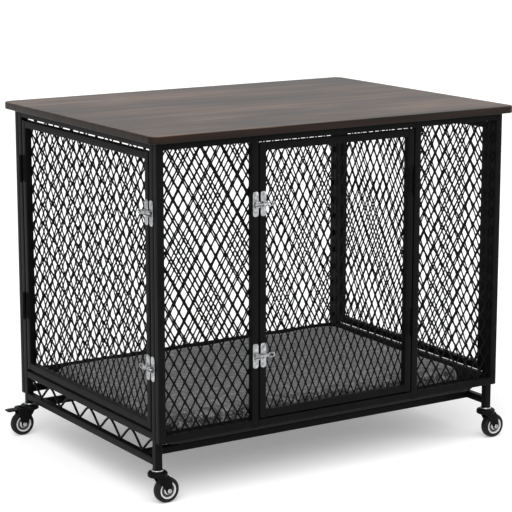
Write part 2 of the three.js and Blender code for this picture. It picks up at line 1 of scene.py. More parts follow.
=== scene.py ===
"""The visual model of a wire dog crate on casters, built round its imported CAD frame.

Every piece takes its place from the frame's own boxes and joints, in metres, with +Z up and the
crate's front facing -Y. New surfaces are grids of points worked out with numpy.
"""

from __future__ import annotations

import json
import logging
import math
from dataclasses import dataclass, field
from enum import Enum

import bmesh
import bpy
import numpy as np
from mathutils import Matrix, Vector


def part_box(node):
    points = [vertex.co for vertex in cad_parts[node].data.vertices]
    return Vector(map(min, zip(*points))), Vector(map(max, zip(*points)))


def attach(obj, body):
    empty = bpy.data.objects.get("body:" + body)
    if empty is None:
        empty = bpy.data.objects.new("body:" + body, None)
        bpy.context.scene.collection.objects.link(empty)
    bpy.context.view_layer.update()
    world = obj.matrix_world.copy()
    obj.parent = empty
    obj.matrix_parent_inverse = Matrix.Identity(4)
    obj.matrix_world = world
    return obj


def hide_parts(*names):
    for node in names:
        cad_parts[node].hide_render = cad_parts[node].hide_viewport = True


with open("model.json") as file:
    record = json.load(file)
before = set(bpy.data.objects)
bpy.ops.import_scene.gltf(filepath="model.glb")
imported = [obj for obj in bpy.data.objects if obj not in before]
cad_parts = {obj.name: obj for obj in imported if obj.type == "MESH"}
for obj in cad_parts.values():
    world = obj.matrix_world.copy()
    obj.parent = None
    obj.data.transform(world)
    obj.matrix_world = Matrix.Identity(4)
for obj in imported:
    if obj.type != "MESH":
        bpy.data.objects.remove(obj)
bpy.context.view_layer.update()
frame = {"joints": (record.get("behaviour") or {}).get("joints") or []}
LOG = logging.getLogger("dog_crate")
TAU = 2 * math.pi
TUBE = 0.015  # square tube
TUBE_EDGE = 0.0018  # its rounded long edges
MESH_SIZES = {
    "front_door_mesh": {"width": 0.0172, "height": 0.0405},
    "front_mesh_right": {"width": 0.0262},
}


class Axis(Enum):
    """The three directions of the shared frame, as array indices."""

    X = 0
    Y = 1
    Z = 2


class Level(Enum):
    """Where a door's hinge or latch sits."""

    UPPER = "upper"
    LOWER = "lower"


class Side(Enum):
    """The crate's two sides."""

    LEFT = "left"
    RIGHT = "right"


class Corner(Enum):
    """The four corners that stand on casters."""

    FRONT_LEFT = "front_left"
    FRONT_RIGHT = "front_right"
    BACK_LEFT = "back_left"
    BACK_RIGHT = "back_right"


# ------------------------------------------------------------------------------ materials
class Recipe:
    """One material and its node tree, with a short way to add nodes."""

    def __init__(self, name: str) -> None:
        """Starts a material that holds only its Principled shader.

        Args:
            name: The material's name.
        """
        self.material = bpy.data.materials.new(name)
        self.material.use_nodes = True
        self.tree = self.material.node_tree
        self.shader = self.tree.nodes["Principled BSDF"]

    def add(self, kind: str, inputs: dict | None = None, **settings: object) -> bpy.types.Node:
        """Adds a node.

        Args:
            kind: The node's type name, without its ShaderNode prefix.
            inputs: Input name or number to a plain value, or to the socket that feeds it.
            settings: Properties of the node itself.

        Returns:
            The new node.
        """
        node = self.tree.nodes.new("ShaderNode" + kind)
        for key, value in settings.items():
            setattr(node, key, value)
        for key, value in (inputs or {}).items():
            self.feed(node.inputs[key], value)
        return node

    def feed(self, socket: bpy.types.NodeSocket, value: object) -> None:
        """Links a socket to another one, or sets its plain value.

        Args:
            socket: The input.
            value: A plain value, or the socket that feeds it.
        """
        if isinstance(value, bpy.types.NodeSocket):
            self.tree.links.new(value, socket)
        else:
            socket.default_value = value

    def noise(self, scale: float, stretch: tuple = (1, 1, 1), detail: float = 4) -> bpy.types.NodeSocket:
        """Noise on Object coordinates, from 0 to 1, stretched along each axis.

        Args:
            scale: Lumps for each metre.
            stretch: Each axis's own share of the scale.
            detail: Finer layers.

        Returns:
            The noise's socket.
        """
        where = self.add("TexCoord").outputs["Object"]
        mapped = self.add("Mapping", {"Vector": where, "Scale": stretch}).outputs[0]
        node = self.add("TexNoise", {"Vector": mapped, "Scale": scale, "Detail": detail})
        return node.outputs["Fac"]

    def ramp(self, value: bpy.types.NodeSocket, stops: list) -> bpy.types.NodeSocket:
        """Turns a value into a colour through a list of (place, colour) stops.

        Args:
            value: The value, from 0 to 1.
            stops: Places with their colours.

        Returns:
            The colour's socket.
        """
        node = self.add("ValToRGB", {"Fac": value})
        elements = node.color_ramp.elements
        while len(elements) < len(stops):
            elements.new(0.5)
        for element, (place, colour) in zip(elements, stops):
            element.position = place
            element.color = (*colour, 1)
        return node.outputs["Color"]

    def remap(self, value: bpy.types.NodeSocket, low: float, high: float) -> bpy.types.NodeSocket:
        """Spreads a 0 to 1 value over low to high.

        Args:
            value: The value, from 0 to 1.
            low: What 0 becomes.
            high: What 1 becomes.

        Returns:
            The new value's socket.
        """
        node = self.add("MapRange", {"Value": value, "To Min": low, "To Max": high})
        return node.outputs["Result"]

    def bump(self, height: bpy.types.NodeSocket, strength: float, distance: float) -> None:
        """Gives the shader a bump from a height, in metres at full strength.

        Args:
            height: The height's socket.
            strength: From 0 to 1.
            distance: Metres at full strength.
        """
        values = {"Height": height, "Strength": strength, "Distance": distance}
        self.feed(self.shader.inputs["Normal"], self.add("Bump", values).outputs["Normal"])


def shown_rays(tree: bpy.types.NodeTree) -> bpy.types.NodeSocket:
    """A socket that is 1 for camera, glossy and transmission rays, and 0 for those that only light things.

    Args:
        tree: The node tree.

    Returns:
        The socket.
    """
    ray = tree.nodes.new("ShaderNodeLightPath")
    total = ray.outputs["Is Camera Ray"]
    for kind in ("Is Glossy Ray", "Is Transmission Ray"):
        both = tree.nodes.new("ShaderNodeMath")
        both.operation, both.use_clamp = "ADD", True
        tree.links.new(total, both.inputs[0])
        tree.links.new(ray.outputs[kind], both.inputs[1])
        total = both.outputs[0]
    return total


@dataclass(frozen=True)
class PaintedSteel:
    """Powder coat: near black, with a fine orange peel and slightly uneven gloss."""

    name: str
    colour: tuple[float, float, float]
    gloss: tuple[float, float] = (0.34, 0.5)
    peel: float = 0.2
    specular: float = 0.05
    cloud_scale: float = 35
    gloss_scale: float = 14
    peel_scale: float = 900
    peel_depth: float = 0.00015

    def make(self) -> bpy.types.Material:
        """Builds the material.

        Returns:
            The material.
        """
        recipe = Recipe(self.name)
        shade = recipe.noise(self.cloud_scale, detail=6)
        lighter = tuple(1.6 * value for value in self.colour)
        colour = recipe.ramp(shade, [(0.3, self.colour), (0.75, lighter)])
        recipe.feed(recipe.shader.inputs["Base Color"], colour)
        gloss = recipe.remap(recipe.noise(self.gloss_scale), *self.gloss)
        recipe.feed(recipe.shader.inputs["Roughness"], gloss)
        recipe.shader.inputs["Specular IOR Level"].default_value = self.specular
        recipe.bump(recipe.noise(self.peel_scale, detail=2), self.peel, self.peel_depth)
        return recipe.material


@dataclass(frozen=True)
class WalnutBoard:
    """Dark wood veneer with its grain along X, and a plain darker edge band."""

    name: str = "walnut_board"
    dark: tuple[float, float, float] = (0.006, 0.0035, 0.0025)
    middle: tuple[float, float, float] = (0.034, 0.018, 0.012)
    pale: tuple[float, float, float] = (0.14, 0.082, 0.054)
    gloss: tuple[float, float] = (0.3, 0.5)
    specular: float = 0.13
    pore_depth: float = 0.0004

    def make(self) -> bpy.types.Material:
        """Builds the material: long streaks, fine pores and broad clouds of colour.

        Returns:
            The material.
        """
        recipe = Recipe(self.name)
        streaks = recipe.noise(7, (0.35, 7, 7), 8)
        pores = recipe.noise(60, (0.12, 9, 9), 3)
        clouds = recipe.noise(4.5, (0.7, 1.6, 1.6), 4)
        mixed = recipe.add("Math", {0: streaks, 1: pores}, operation="ADD").outputs[0]
        mixed = recipe.add("Math", {0: mixed, 1: clouds}, operation="ADD").outputs[0]
        grain = recipe.add("MapRange", {"Value": mixed, "From Min": 1.18, "From Max": 1.85}).outputs["Result"]
        colour = recipe.ramp(grain, [(0.12, self.dark), (0.5, self.middle), (0.9, self.pale)])
        up = recipe.add("SeparateXYZ", {0: recipe.add("TexCoord").outputs["Normal"]}).outputs["Z"]
        face = recipe.add("MapRange", {"Value": up, "From Min": 0.3, "From Max": 0.8}).outputs["Result"]
        edge = recipe.ramp(streaks, [(0.35, self.dark), (0.8, tuple(0.7 * value for value in self.middle))])
        blend = recipe.add("Mix", {"Factor": face, 6: edge, 7: colour}, data_type="RGBA")
        recipe.feed(recipe.shader.inputs["Base Color"], blend.outputs[2])
        recipe.feed(recipe.shader.inputs["Roughness"], recipe.remap(pores, *self.gloss))
        recipe.shader.inputs["Specular IOR Level"].default_value = self.specular
        recipe.bump(pores, 0.2, self.pore_depth)
        return recipe.material


@dataclass(frozen=True)
class PlushFabric:
    """Grey plush: tufts in several greys, a soft sheen and a deep nap."""

    name: str = "grey_plush"
    greys: tuple[float, ...] = (0.004, 0.045, 0.33)
    tuft_scale: float = 300
    clump_scale: float = 70
    roughness: float = 0.95
    sheen: float = 0.5
    sheen_roughness: float = 0.5
    nap_depth: float = 0.003

    def make(self) -> bpy.types.Material:
        """Builds the material.

        Returns:
            The material.
        """
        recipe = Recipe(self.name)
        tufts = recipe.noise(self.tuft_scale, detail=3)
        clumps = recipe.noise(self.clump_scale, detail=4)
        mixed = recipe.add("Math", {0: tufts, 1: clumps}, operation="ADD").outputs[0]
        shade = recipe.add("MapRange", {"Value": mixed, "From Min": 0.78, "From Max": 1.24}).outputs["Result"]
        stops = [(place, (grey, grey, 1.03 * grey)) for place, grey in zip((0.15, 0.5, 0.9), self.greys)]
        recipe.feed(recipe.shader.inputs["Base Color"], recipe.ramp(shade, stops))
        recipe.shader.inputs["Roughness"].default_value = self.roughness
        recipe.shader.inputs["Sheen Weight"].default_value = self.sheen
        recipe.shader.inputs["Sheen Roughness"].default_value = self.sheen_roughness
        recipe.bump(mixed, 0.8, self.nap_depth)
        return recipe.material


@dataclass(frozen=True)
class BrightPlate:
    """Plated steel: zinc or chrome, with faint clouds in its gloss."""

    name: str
    colour: tuple[float, float, float] = (0.56, 0.57, 0.58)
    gloss: tuple[float, float] = (0.2, 0.42)
    cloud_scale: float = 120
    grain_scale: float = 700
    grain_depth: float = 0.0001

    def make(self) -> bpy.types.Material:
        """Builds the material.

        Returns:
            The material.
        """
        recipe = Recipe(self.name)
        cloud = recipe.noise(self.cloud_scale, detail=5)
        dull = tuple(0.45 * value for value in self.colour)
        colour = recipe.ramp(cloud, [(0.35, dull), (0.7, self.colour)])
        recipe.feed(recipe.shader.inputs["Base Color"], colour)
        recipe.shader.inputs["Metallic"].default_value = 1
        recipe.feed(recipe.shader.inputs["Roughness"], recipe.remap(cloud, *self.gloss))
        recipe.bump(recipe.noise(self.grain_scale, detail=3), 0.12, self.grain_depth)
        return recipe.material


@dataclass(frozen=True)
class MouldedPart:
    """Rubber or plastic: one colour with a fine grain and faint scuffs."""

    name: str
    colour: tuple[float, float, float]
    gloss: tuple[float, float] = (0.45, 0.65)
    specular: float = 0.2
    scuff_scale: float = 160
    grain_scale: float = 1400
    grain_depth: float = 0.0001

    def make(self) -> bpy.types.Material:
        """Builds the material.

        Returns:
            The material.
        """
        recipe = Recipe(self.name)
        scuffs = recipe.noise(self.scuff_scale, detail=6)
        worn = tuple(1.25 * value + 0.002 for value in self.colour)
        recipe.shader.inputs["Specular IOR Level"].default_value = self.specular
        colour = recipe.ramp(scuffs, [(0.4, self.colour), (0.8, worn)])
        recipe.feed(recipe.shader.inputs["Base Color"], colour)
        recipe.feed(recipe.shader.inputs["Roughness"], recipe.remap(scuffs, *self.gloss))
        recipe.bump(recipe.noise(self.grain_scale, detail=2), 0.2, self.grain_depth)
        return recipe.material


class Finishes:
    """The crate's finishes, each with its material and the record's slot it belongs to."""

    def __init__(self) -> None:
        """Makes every material once."""
        black = PaintedSteel("black_powder_coat", (0.0032, 0.0032, 0.0036)).make()
        self.black = (black, "black_powder_coat")
        sheet = PaintedSteel("black_mesh_coat", (0.003, 0.003, 0.0034), (0.42, 0.6)).make()
        self.mesh = (sheet, "black_powder_coat")
        pan = PaintedSteel("black_tray_coat", (0.006, 0.006, 0.0065), (0.4, 0.55)).make()
        self.tray = (pan, "tray_black")
        self.wood = (WalnutBoard().make(), "dark_wood")
        self.plush = (PlushFabric().make(), "grey_plush")
        self.zinc = (BrightPlate("bright_zinc").make(), "zinc")
        self.tyre = (MouldedPart("black_rubber", (0.003, 0.003, 0.003), (0.55, 0.75)).make(), "caster_tyre")
        self.hub = (MouldedPart("grey_hub_plastic", (0.045, 0.045, 0.047)).make(), "caster_hub")
        self.ring = (MouldedPart("pale_ring_plastic", (0.62, 0.62, 0.62)).make(), "caster_hub")


# ------------------------------------------------------------------------------ surfaces
class Surface:
    """Collects grids of points and makes one Blender piece of them."""

    def __init__(self) -> None:
        """Starts with nothing."""
        self.points: list[np.ndarray] = []
        self.quads: list[np.ndarray] = []
        self.groups: list[np.ndarray] = []
        self.count = 0

    def grid(self, points: np.ndarray, wrap_rows: bool = False, material: int = 0) -> Surface:
        """Adds rings of points as quads between neighbours.

        Args:
            points: Rows of points, (rows, columns, 3).
            wrap_rows: Whether the last row joins the first.
            material: The number of the piece's material for these faces.

        Returns:
            This surface.
        """
        rows, columns = points.shape[:2]
        index = np.arange(rows * columns).reshape(rows, columns) + self.count
        if wrap_rows:
            index = np.vstack([index, index[:1]])
        index = np.hstack([index, index[:, :1]])
        corners = [index[:-1, :-1], index[:-1, 1:], index[1:, 1:], index[1:, :-1]]
        quads = np.stack(corners, axis=-1).reshape(-1, 4)
        return self.raw(points.reshape(-1, 3), quads, material)

    def raw(self, points: np.ndarray, quads: np.ndarray, material: int = 0) -> Surface:
        """Adds points and quads that are already numbered from self.count.

        Args:
            points: Points, (points, 3).
            quads: Corner numbers, (faces, 4).
            material: The number of the piece's material.

        Returns:
            This surface.
        """
        self.points.append(points)
        self.quads.append(quads)
        self.groups.append(np.full(len(quads), material))
        self.count += len(points)
        return self

    def solid(self, rings: np.ndarray, material: int = 0) -> Surface:
        """Adds closed rings, (rows, columns, 3), with a flat cap on the first and on the last.

        Args:
            rings: The rings, in order.
            material: The number of the piece's material.

        Returns:
            This surface.
        """
        first = np.repeat(rings[:1].mean(axis=1, keepdims=True), rings.shape[1], axis=1)
        last = np.repeat(rings[-1:].mean(axis=1, keepdims=True), rings.shape[1], axis=1)
        return self.grid(np.concatenate([first, rings, last]), material=material)

    def piece(
        self, name: str, finishes: list | tuple, body: str, *nodes: str, sharp: float = 35
    ) -> bpy.types.Object:
        """Makes the Blender object, rides it on its body and hides the CAD nodes it stands for.

        Args:
            name: The piece's name.
            finishes: One finish, or several for a piece of several materials.
            body: The CAD body that the piece moves with.
            nodes: The CAD nodes that it replaces.
            sharp: Edges bent further than this, in degrees, stay sharp.

        Returns:
            The piece.
        """
        finishes = [finishes] if isinstance(finishes, tuple) else finishes
        mesh = bpy.data.meshes.new(name)
        mesh.from_pydata(np.concatenate(self.points).tolist(), [], np.concatenate(self.quads).tolist())
        for material, _ in finishes:
            mesh.materials.append(material)
        mesh.polygons.foreach_set("material_index", np.concatenate(self.groups).astype(np.int32))
        tidy(mesh)
        return place(name, mesh, finishes[0][1], body, nodes, sharp)


def tidy(mesh: bpy.types.Mesh) -> None:
    """Merges doubled points, drops collapsed faces and turns every face outwards.

    Args:
        mesh: The mesh.
    """
    work = bmesh.new()
    work.from_mesh(mesh)
    bmesh.ops.remove_doubles(work, verts=work.verts, dist=2e-6)
    bmesh.ops.dissolve_degenerate(work, edges=work.edges, dist=1e-6)
    bmesh.ops.recalc_face_normals(work, faces=work.faces)
    work.to_mesh(mesh)
    work.free()


def place(
    name: str, mesh: bpy.types.Mesh, slot: str, body: str, nodes: tuple, sharp: float
) -> bpy.types.Object:
    """Links a finished mesh as a piece on a body.

    Args:
        name: Its name.
        mesh: The mesh.
        slot: The record's slot. Not used.
        body: The CAD body that it moves with.
        nodes: The CAD nodes that it replaces.
        sharp: Edges bent further than this, in degrees, stay sharp.

    Returns:
        The piece.
    """
    mesh.shade_smooth()
    mesh.set_sharp_from_angle(angle=math.radians(sharp))
    piece = bpy.data.objects.new(name, mesh)
    bpy.context.scene.collection.objects.link(piece)
    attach(piece, body)
    if nodes:
        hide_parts(*nodes)
    LOG.info("%s: %d faces on %s", name, len(mesh.polygons), body)
    return piece


def rounded_rectangle(half_a: float, half_b: float, radius: float, arc: int = 4) -> np.ndarray:
    """A rectangle whose corners are quarter circles, each about its own centre.

    Args:
        half_a: Half its first side.
        half_b: Half its second side.
        radius: Corner radius.
        arc: Steps in each corner.

    Returns:
        The outline, (points, 2).
    """
    quarter = np.linspace(0, math.pi / 2, arc + 1)
    turns = np.arange(4)[:, None] * math.pi / 2 + quarter
    signs = np.array([[1, 1], [-1, 1], [-1, -1], [1, -1]])
    centres = signs * [half_a - radius, half_b - radius]
    spokes = np.stack([np.cos(turns), np.sin(turns)], axis=-1)
    return (centres[:, None] + radius * spokes).reshape(-1, 2)


def bar(surface: Surface, low: np.ndarray, high: np.ndarray, radius: float) -> None:
    """Adds a box bar with round long edges: its section is carried along its longest side.

    Args:
        surface: Where it is added.
        low: Lowest corner.
        high: Highest corner.
        radius: Radius of the long edges.
    """
    low, high = np.array(low, float), np.array(high, float)
    size = high - low
    along = int(np.argmax(size))
    across = [k for k in range(3) if k != along]
    middle = (low + high) / 2
    section = rounded_rectangle(size[across[0]] / 2, size[across[1]] / 2, radius)
    rings = np.zeros((2, len(section), 3))
    for row, level in enumerate((low[along], high[along])):
        rings[row, :, across[0]] = middle[across[0]] + section[:, 0]
        rings[row, :, across[1]] = middle[across[1]] + section[:, 1]
        rings[row, :, along] = level
    surface.solid(rings)


def turned(profile: list, centre: tuple, axis: Axis, sides: int = 32) -> np.ndarray:
    """A profile of (radius, height) turned about an axis: the rings of a surface of revolution.

    Args:
        profile: Pairs of radius and height along the axis.
        centre: Where height is 0 on the axis.
        axis: The direction of the axis.
        sides: Points round the section.

    Returns:
        The rings, (heights, sides, 3).
    """
    outline = np.array(profile, float)
    turn = np.arange(sides) / sides * TAU
    rings = np.zeros((len(outline), sides, 3))
    others = [k for k in range(3) if k != axis.value]
    rings[:, :, others[0]] = outline[:, :1] * np.cos(turn)
    rings[:, :, others[1]] = outline[:, :1] * np.sin(turn)
    rings[:, :, axis.value] = outline[:, 1:]
    return rings + np.array(centre, float)


def swept(
    path: np.ndarray, radius: np.ndarray | float, normal: tuple, sides: int = 10, closed: bool = False
) -> np.ndarray:
    """A round section carried along a path that lies in a plane.

    Args:
        path: Points of the centre line, (points, 3).
        radius: One radius, or one for each point.
        normal: The plane's normal.
        sides: Points round the section.
        closed: Whether the path closes on itself.

    Returns:
        The rings, (points, sides, 3).
    """
    path = np.array(path, float)
    if closed:
        ahead = np.roll(path, -1, axis=0) - np.roll(path, 1, axis=0)
    else:
        ahead = np.gradient(path, axis=0)
    ahead /= np.linalg.norm(ahead, axis=1, keepdims=True)
    up = np.array(normal, float)
    side = np.cross(ahead, up)
    turn = np.arange(sides) / sides * TAU
    spokes = np.cos(turn)[None, :, None] * side[:, None] + np.sin(turn)[None, :, None] * up
    return path[:, None] + np.reshape(radius, (-1, 1, 1)) * spokes


def eased(path: np.ndarray, rounds: int = 3) -> np.ndarray:
    """Rounds a path's corners: each pass cuts every corner a quarter of the way along its sides.

    Args:
        path: Points of the path.
        rounds: How many passes.

    Returns:
        The longer path.
    """
    for _ in range(rounds):
        cut = np.stack([0.75 * path[:-1] + 0.25 * path[1:], 0.25 * path[:-1] + 0.75 * path[1:]], axis=1)
        path = np.concatenate([path[:1], cut.reshape(-1, path.shape[1]), path[-1:]])
    return path


@dataclass
class Seam:
    """A door's seam, as a place for hardware: x across the seam, y inwards, z up."""

    origin: np.ndarray
    right: np.ndarray
    inward: np.ndarray
    hand: int = 1

    def world(self, points: np.ndarray) -> np.ndarray:
        """Moves points from the seam's own directions to the crate's.

        Args:
            points: Points, in its own directions.

        Returns:
            Points, in the crate's directions.
        """
        across = self.hand * points[..., :1] * self.right
        return self.origin + across + points[..., 1:2] * self.inward + points[..., 2:] * np.array([0, 0, 1.0])


def leaf(centre: tuple, half: tuple, corner: float, depth: tuple, ease: float = 0.0004) -> np.ndarray:
    """A flat plate's rings: its rounded outline, eased at both faces, from the back to the front.

    Args:
        centre: Middle of the plate, (x, z).
        half: Half its width and half its height.
        corner: Radius of its corners.
        depth: y of its back face and of its front face.
        ease: How far the edges are rounded.

    Returns:
        The rings, in a seam's directions.
    """
    back, face = depth
    step = math.copysign(ease, face - back)
    rows = [(back, ease), (back + step, 0), (face - step, 0), (face - 0.3 * step, 0.5 * ease), (face, ease)]
    rings = []
    for level, inset in rows:
        outline = rounded_rectangle(half[0] - inset, half[1] - inset, corner - inset, 5)
        y = np.full(len(outline), level)
        rings.append(np.stack([centre[0] + outline[:, 0], y, centre[1] + outline[:, 1]], axis=-1))
    return np.array(rings)


def screw_head(x: float, z: float, face: float, radius: float = 0.0026) -> np.ndarray:
    """A pan head's rings on a face at y = face, standing out towards -Y: a low dome with a dimple.

    Args:
        x: Its middle across.
        z: Its middle in height.
        face: y of the face it sits on.
        radius: Radius, in metres.

    Returns:
        The rings, in a seam's directions.
    """
    profile = [(radius, -0.0001), (radius, 0.0006), (0.86 * radius, 0.0012), (0.45 * radius, 0.0014)]
    profile += [(0.36 * radius, 0.0014), (0.16 * radius, 0.0007)]
    return turned([(r, -h) for r, h in profile], (x, face, z), Axis.Y, 16)


# ------------------------------------------------------------------------------ the crate's parts
@dataclass
class ExpandedMetal:
    """One panel of expanded metal: diamonds whose strands are thickest where they meet."""

    node: str
    body: str
    width: float = 0.0242
    height: float = 0.0402
    open_share: tuple[float, float] = (0.76, 0.79)
    bulge: float = 0.3
    thickness: float = 0.0022
    sunk: float = 0.0015
    side_steps: int = 3
    lip: float = 1.05
    lip_share: float = 0.3

    def outlines(self) -> tuple[np.ndarray, np.ndarray]:
        """The diamond tile and its hole, point by point, as (points, 2).

        A side's points run from the tip on the right to the tip on top. The hole's side is a
        straight line mixed with a parabola, so its tips stay pointed and its flanks are round.

        Returns:
            The tile's outline and the hole's, point for point.
        """
        share = np.arange(self.side_steps) / self.side_steps
        tile = np.stack([(1 - share) * self.width / 2, share * self.height / 2], axis=-1)
        reach = (1 - share) * (1 - self.bulge) + (1 - share**2) * self.bulge
        hole_half = np.array(self.open_share) * [self.width / 2, self.height / 2]
        hole = np.stack([reach * hole_half[0], share * hole_half[1]], axis=-1)
        return self.all_sides(tile, self.height / 2), self.all_sides(hole, hole_half[1])

    def all_sides(self, side: np.ndarray, tip: float) -> np.ndarray:
        """Mirrors one side, with its far tip left off, to the whole diamond in order.

        Args:
            side: One side's points.
            tip: How high the top tip is.

        Returns:
            The closed outline, (points, 2).
        """
        far = np.array([[0, tip]])
        full = np.concatenate([side, far])
        second = full[::-1][:-1] * [-1, 1]
        third = full[:-1] * [-1, -1]
        fourth = full[::-1][:-1] * [1, -1]
        return np.concatenate([full[:-1], second, third, fourth])

    def build(self, finishes: Finishes) -> bpy.types.Object:
        """Tiles the panel's window with diamonds, cuts it at the window and closes the cut ends.

        Args:
            finishes: The crate's finishes.

        Returns:
            The piece.
        """
        low, high = (np.array(corner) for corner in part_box(self.node))
        thin = int(np.argmin(high - low))
        flat = 1 - thin
        middle = (low + high) / 2
        half = (high - low) / 2 + self.sunk
        columns = math.ceil(half[flat] / self.width) + 1
        rows = math.ceil(half[2] / self.height) + 1
        i, j = np.meshgrid(np.arange(-columns, columns + 1), np.arange(-rows, rows + 1))
        whole = np.stack([i.ravel(), j.ravel()], axis=-1).astype(float)
        centres = np.concatenate([whole, whole + 0.5]) * [self.width, self.height]
        reach = np.array([half[flat] + self.width / 2, half[2] + self.height / 2])
        centres = centres[(np.abs(centres) < reach).all(axis=1)]
        tile, hole = self.outlines()
        crest, edge = self.thickness / 2, self.lip_share * self.thickness
        lip = self.lip * hole
        rings = [(tile, crest), (lip, edge), (hole, 0.0), (lip, -edge), (tile, -crest)]
        sides = len(tile)
        pattern = np.zeros((len(rings), sides, 3))
        for row, (outline, level) in enumerate(rings):
            pattern[row, :, flat] = outline[:, 0]
            pattern[row, :, 2] = outline[:, 1]
            pattern[row, :, thin] = level
        shift = np.zeros((len(centres), 3))
        shift[:, flat], shift[:, 2] = centres[:, 0], centres[:, 1]
        points = (shift[:, None, None] + pattern + middle).reshape(-1, 3)
        index = np.arange(len(rings) * sides).reshape(len(rings), sides)
        index = np.hstack([index, index[:, :1]])
        corners = [index[:-1, :-1], index[:-1, 1:], index[1:, 1:], index[1:, :-1]]
        quads = np.stack(corners, axis=-1).reshape(-1, 4)
        starts = np.arange(len(centres)) * len(rings) * sides
        surface = Surface().raw(points, (starts[:, None, None] + quads).reshape(-1, 4))
        mesh = bpy.data.meshes.new(self.node + "_expanded")
        mesh.from_pydata(surface.points[0].tolist(), [], surface.quads[0].tolist())
        mesh.materials.append(finishes.mesh[0])
        self.cut(mesh, middle, half, flat)
        return place(self.node + "_expanded", mesh, finishes.mesh[1], self.body, (self.node,), 60)

    def cut(self, mesh: bpy.types.Mesh, middle: np.ndarray, half: np.ndarray, flat: int) -> None:
        """Cuts a tiled mesh at its four edges and closes each strand's end.

        Args:
            mesh: The mesh.
            middle: The window's middle.
            half: The window's half sizes.
            flat: The index of the panel's direction across.
        """
        work = bmesh.new()
        work.from_mesh(mesh)
        bmesh.ops.remove_doubles(work, verts=work.verts, dist=1e-5)
        for axis in (flat, 2):
            for side in (-1, 1):
                normal, point = [0.0, 0.0, 0.0], list(middle)
                normal[axis] = side
                point[axis] += side * half[axis]
                everything = work.verts[:] + work.edges[:] + work.faces[:]
                options = {"plane_co": point, "plane_no": normal, "clear_outer": True, "dist": 1e-7}
                bmesh.ops.bisect_plane(work, geom=everything, **options)
        open_edges = [edge for edge in work.edges if edge.is_boundary]
        bmesh.ops.holes_fill(work, edges=open_edges, sides=0)
        bmesh.ops.recalc_face_normals(work, faces=work.faces)
        work.to_mesh(mesh)
        work.free()


@dataclass
class TubeFrame:
    """A welded frame of square tube: bars with round edges and a bead in each inner corner."""

    node: str
    body: str
    windows: list[tuple[float, float, float, float]]
    edge_radius: float = TUBE_EDGE
    beside: float = 2 * TUBE
    bead: float = 0.0016
    bead_inset: float = 0.001
    ripple: float = 0.12
    ripples: int = 11

    def build(self, finishes: Finishes) -> bpy.types.Object:
        """Builds upright bars at full height, rails between them, and the beads.

        Args:
            finishes: The crate's finishes.

        Returns:
            The piece.
        """
        low, high = (np.array(corner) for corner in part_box(self.node))
        thin = int(np.argmin((high - low)[:2]))
        flat = 1 - thin
        surface = Surface()
        left, right = low[flat], high[flat]
        uprights = sorted({(left, w[0]) for w in self.windows if abs(w[0] - left) < self.beside}
                          | {(w[1], right) for w in self.windows if abs(w[1] - right) < self.beside})
        pairs = [(a[1], b[0]) for a in self.windows for b in self.windows]
        inner = sorted({pair for pair in pairs if TUBE / 3 < pair[1] - pair[0] < self.beside})
        for a, b in uprights + inner:
            self.add_bar(surface, low, high, flat, (a, b), (low[2], high[2]))
        for w in self.windows:
            levels = self.rails_of(w, low[2], high[2])
            for z in levels:
                self.add_bar(surface, low, high, flat, (w[0], w[1]), z)
            for x in (w[0], w[1]):
                for z in (w[2], w[3]):
                    self.add_bead(surface, low, high, thin, flat, x, z)
        return surface.piece(self.node + "_tubes", finishes.black, self.body, self.node)

    def rails_of(self, window: tuple, bottom: float, top: float) -> list[tuple[float, float]]:
        """The rails above and below a window, each from its window to the frame's edge or one tube.

        Args:
            window: Its lowest and highest place across, then in height.
            bottom: The frame's lowest level.
            top: The frame's highest level.

        Returns:
            Each rail's lowest and highest level.
        """
        stacked = [w for w in self.windows if abs(w[0] - window[0]) < 0.001]
        lowest = min(w[2] for w in stacked)
        highest = max(w[3] for w in stacked)
        rails = [(window[2] - TUBE, window[2])]
        if window[3] == highest:
            rails.append((highest, top))
        if window[2] == lowest and lowest - TUBE < bottom:
            rails[0] = (bottom, lowest)
        return rails

    def add_bar(
        self, surface: Surface, low: np.ndarray, high: np.ndarray, flat: int, x: tuple, z: tuple
    ) -> None:
        """Adds one bar of the frame's own thickness.

        Args:
            surface: Where it is added.
            low: The frame's lowest corner.
            high: The frame's highest corner.
            flat: The index of the panel's direction across.
            x: Its two places across.
            z: Its two levels.
        """
        a, b = low.copy(), high.copy()
        a[flat], b[flat] = x
        a[2], b[2] = z
        bar(surface, a, b, self.edge_radius)

    def add_bead(
        self, surface: Surface, low: np.ndarray, high: np.ndarray, thin: int, flat: int, x: float, z: float
    ) -> None:
        """Adds a rippled weld bead along an inner corner, through the frame's thickness.

        Args:
            surface: Where it is added.
            low: The frame's lowest corner.
            high: The frame's highest corner.
            thin: The index of the panel's thin direction.
            flat: The index of the panel's direction across.
            x: Place across.
            z: Level.
        """
        steps = np.linspace(0, 1, 17)
        path = np.zeros((len(steps), 3))
        path[:, thin] = low[thin] + self.bead_inset + steps * (high[thin] - low[thin] - 2 * self.bead_inset)
        path[:, flat] = x
        path[:, 2] = z
        radius = self.bead * (1 + self.ripple * np.sin(steps * self.ripples * math.pi))
        radius[[0, -1]] *= 0.5
        surface.solid(swept(path, radius, (0, 0, 1), 8))


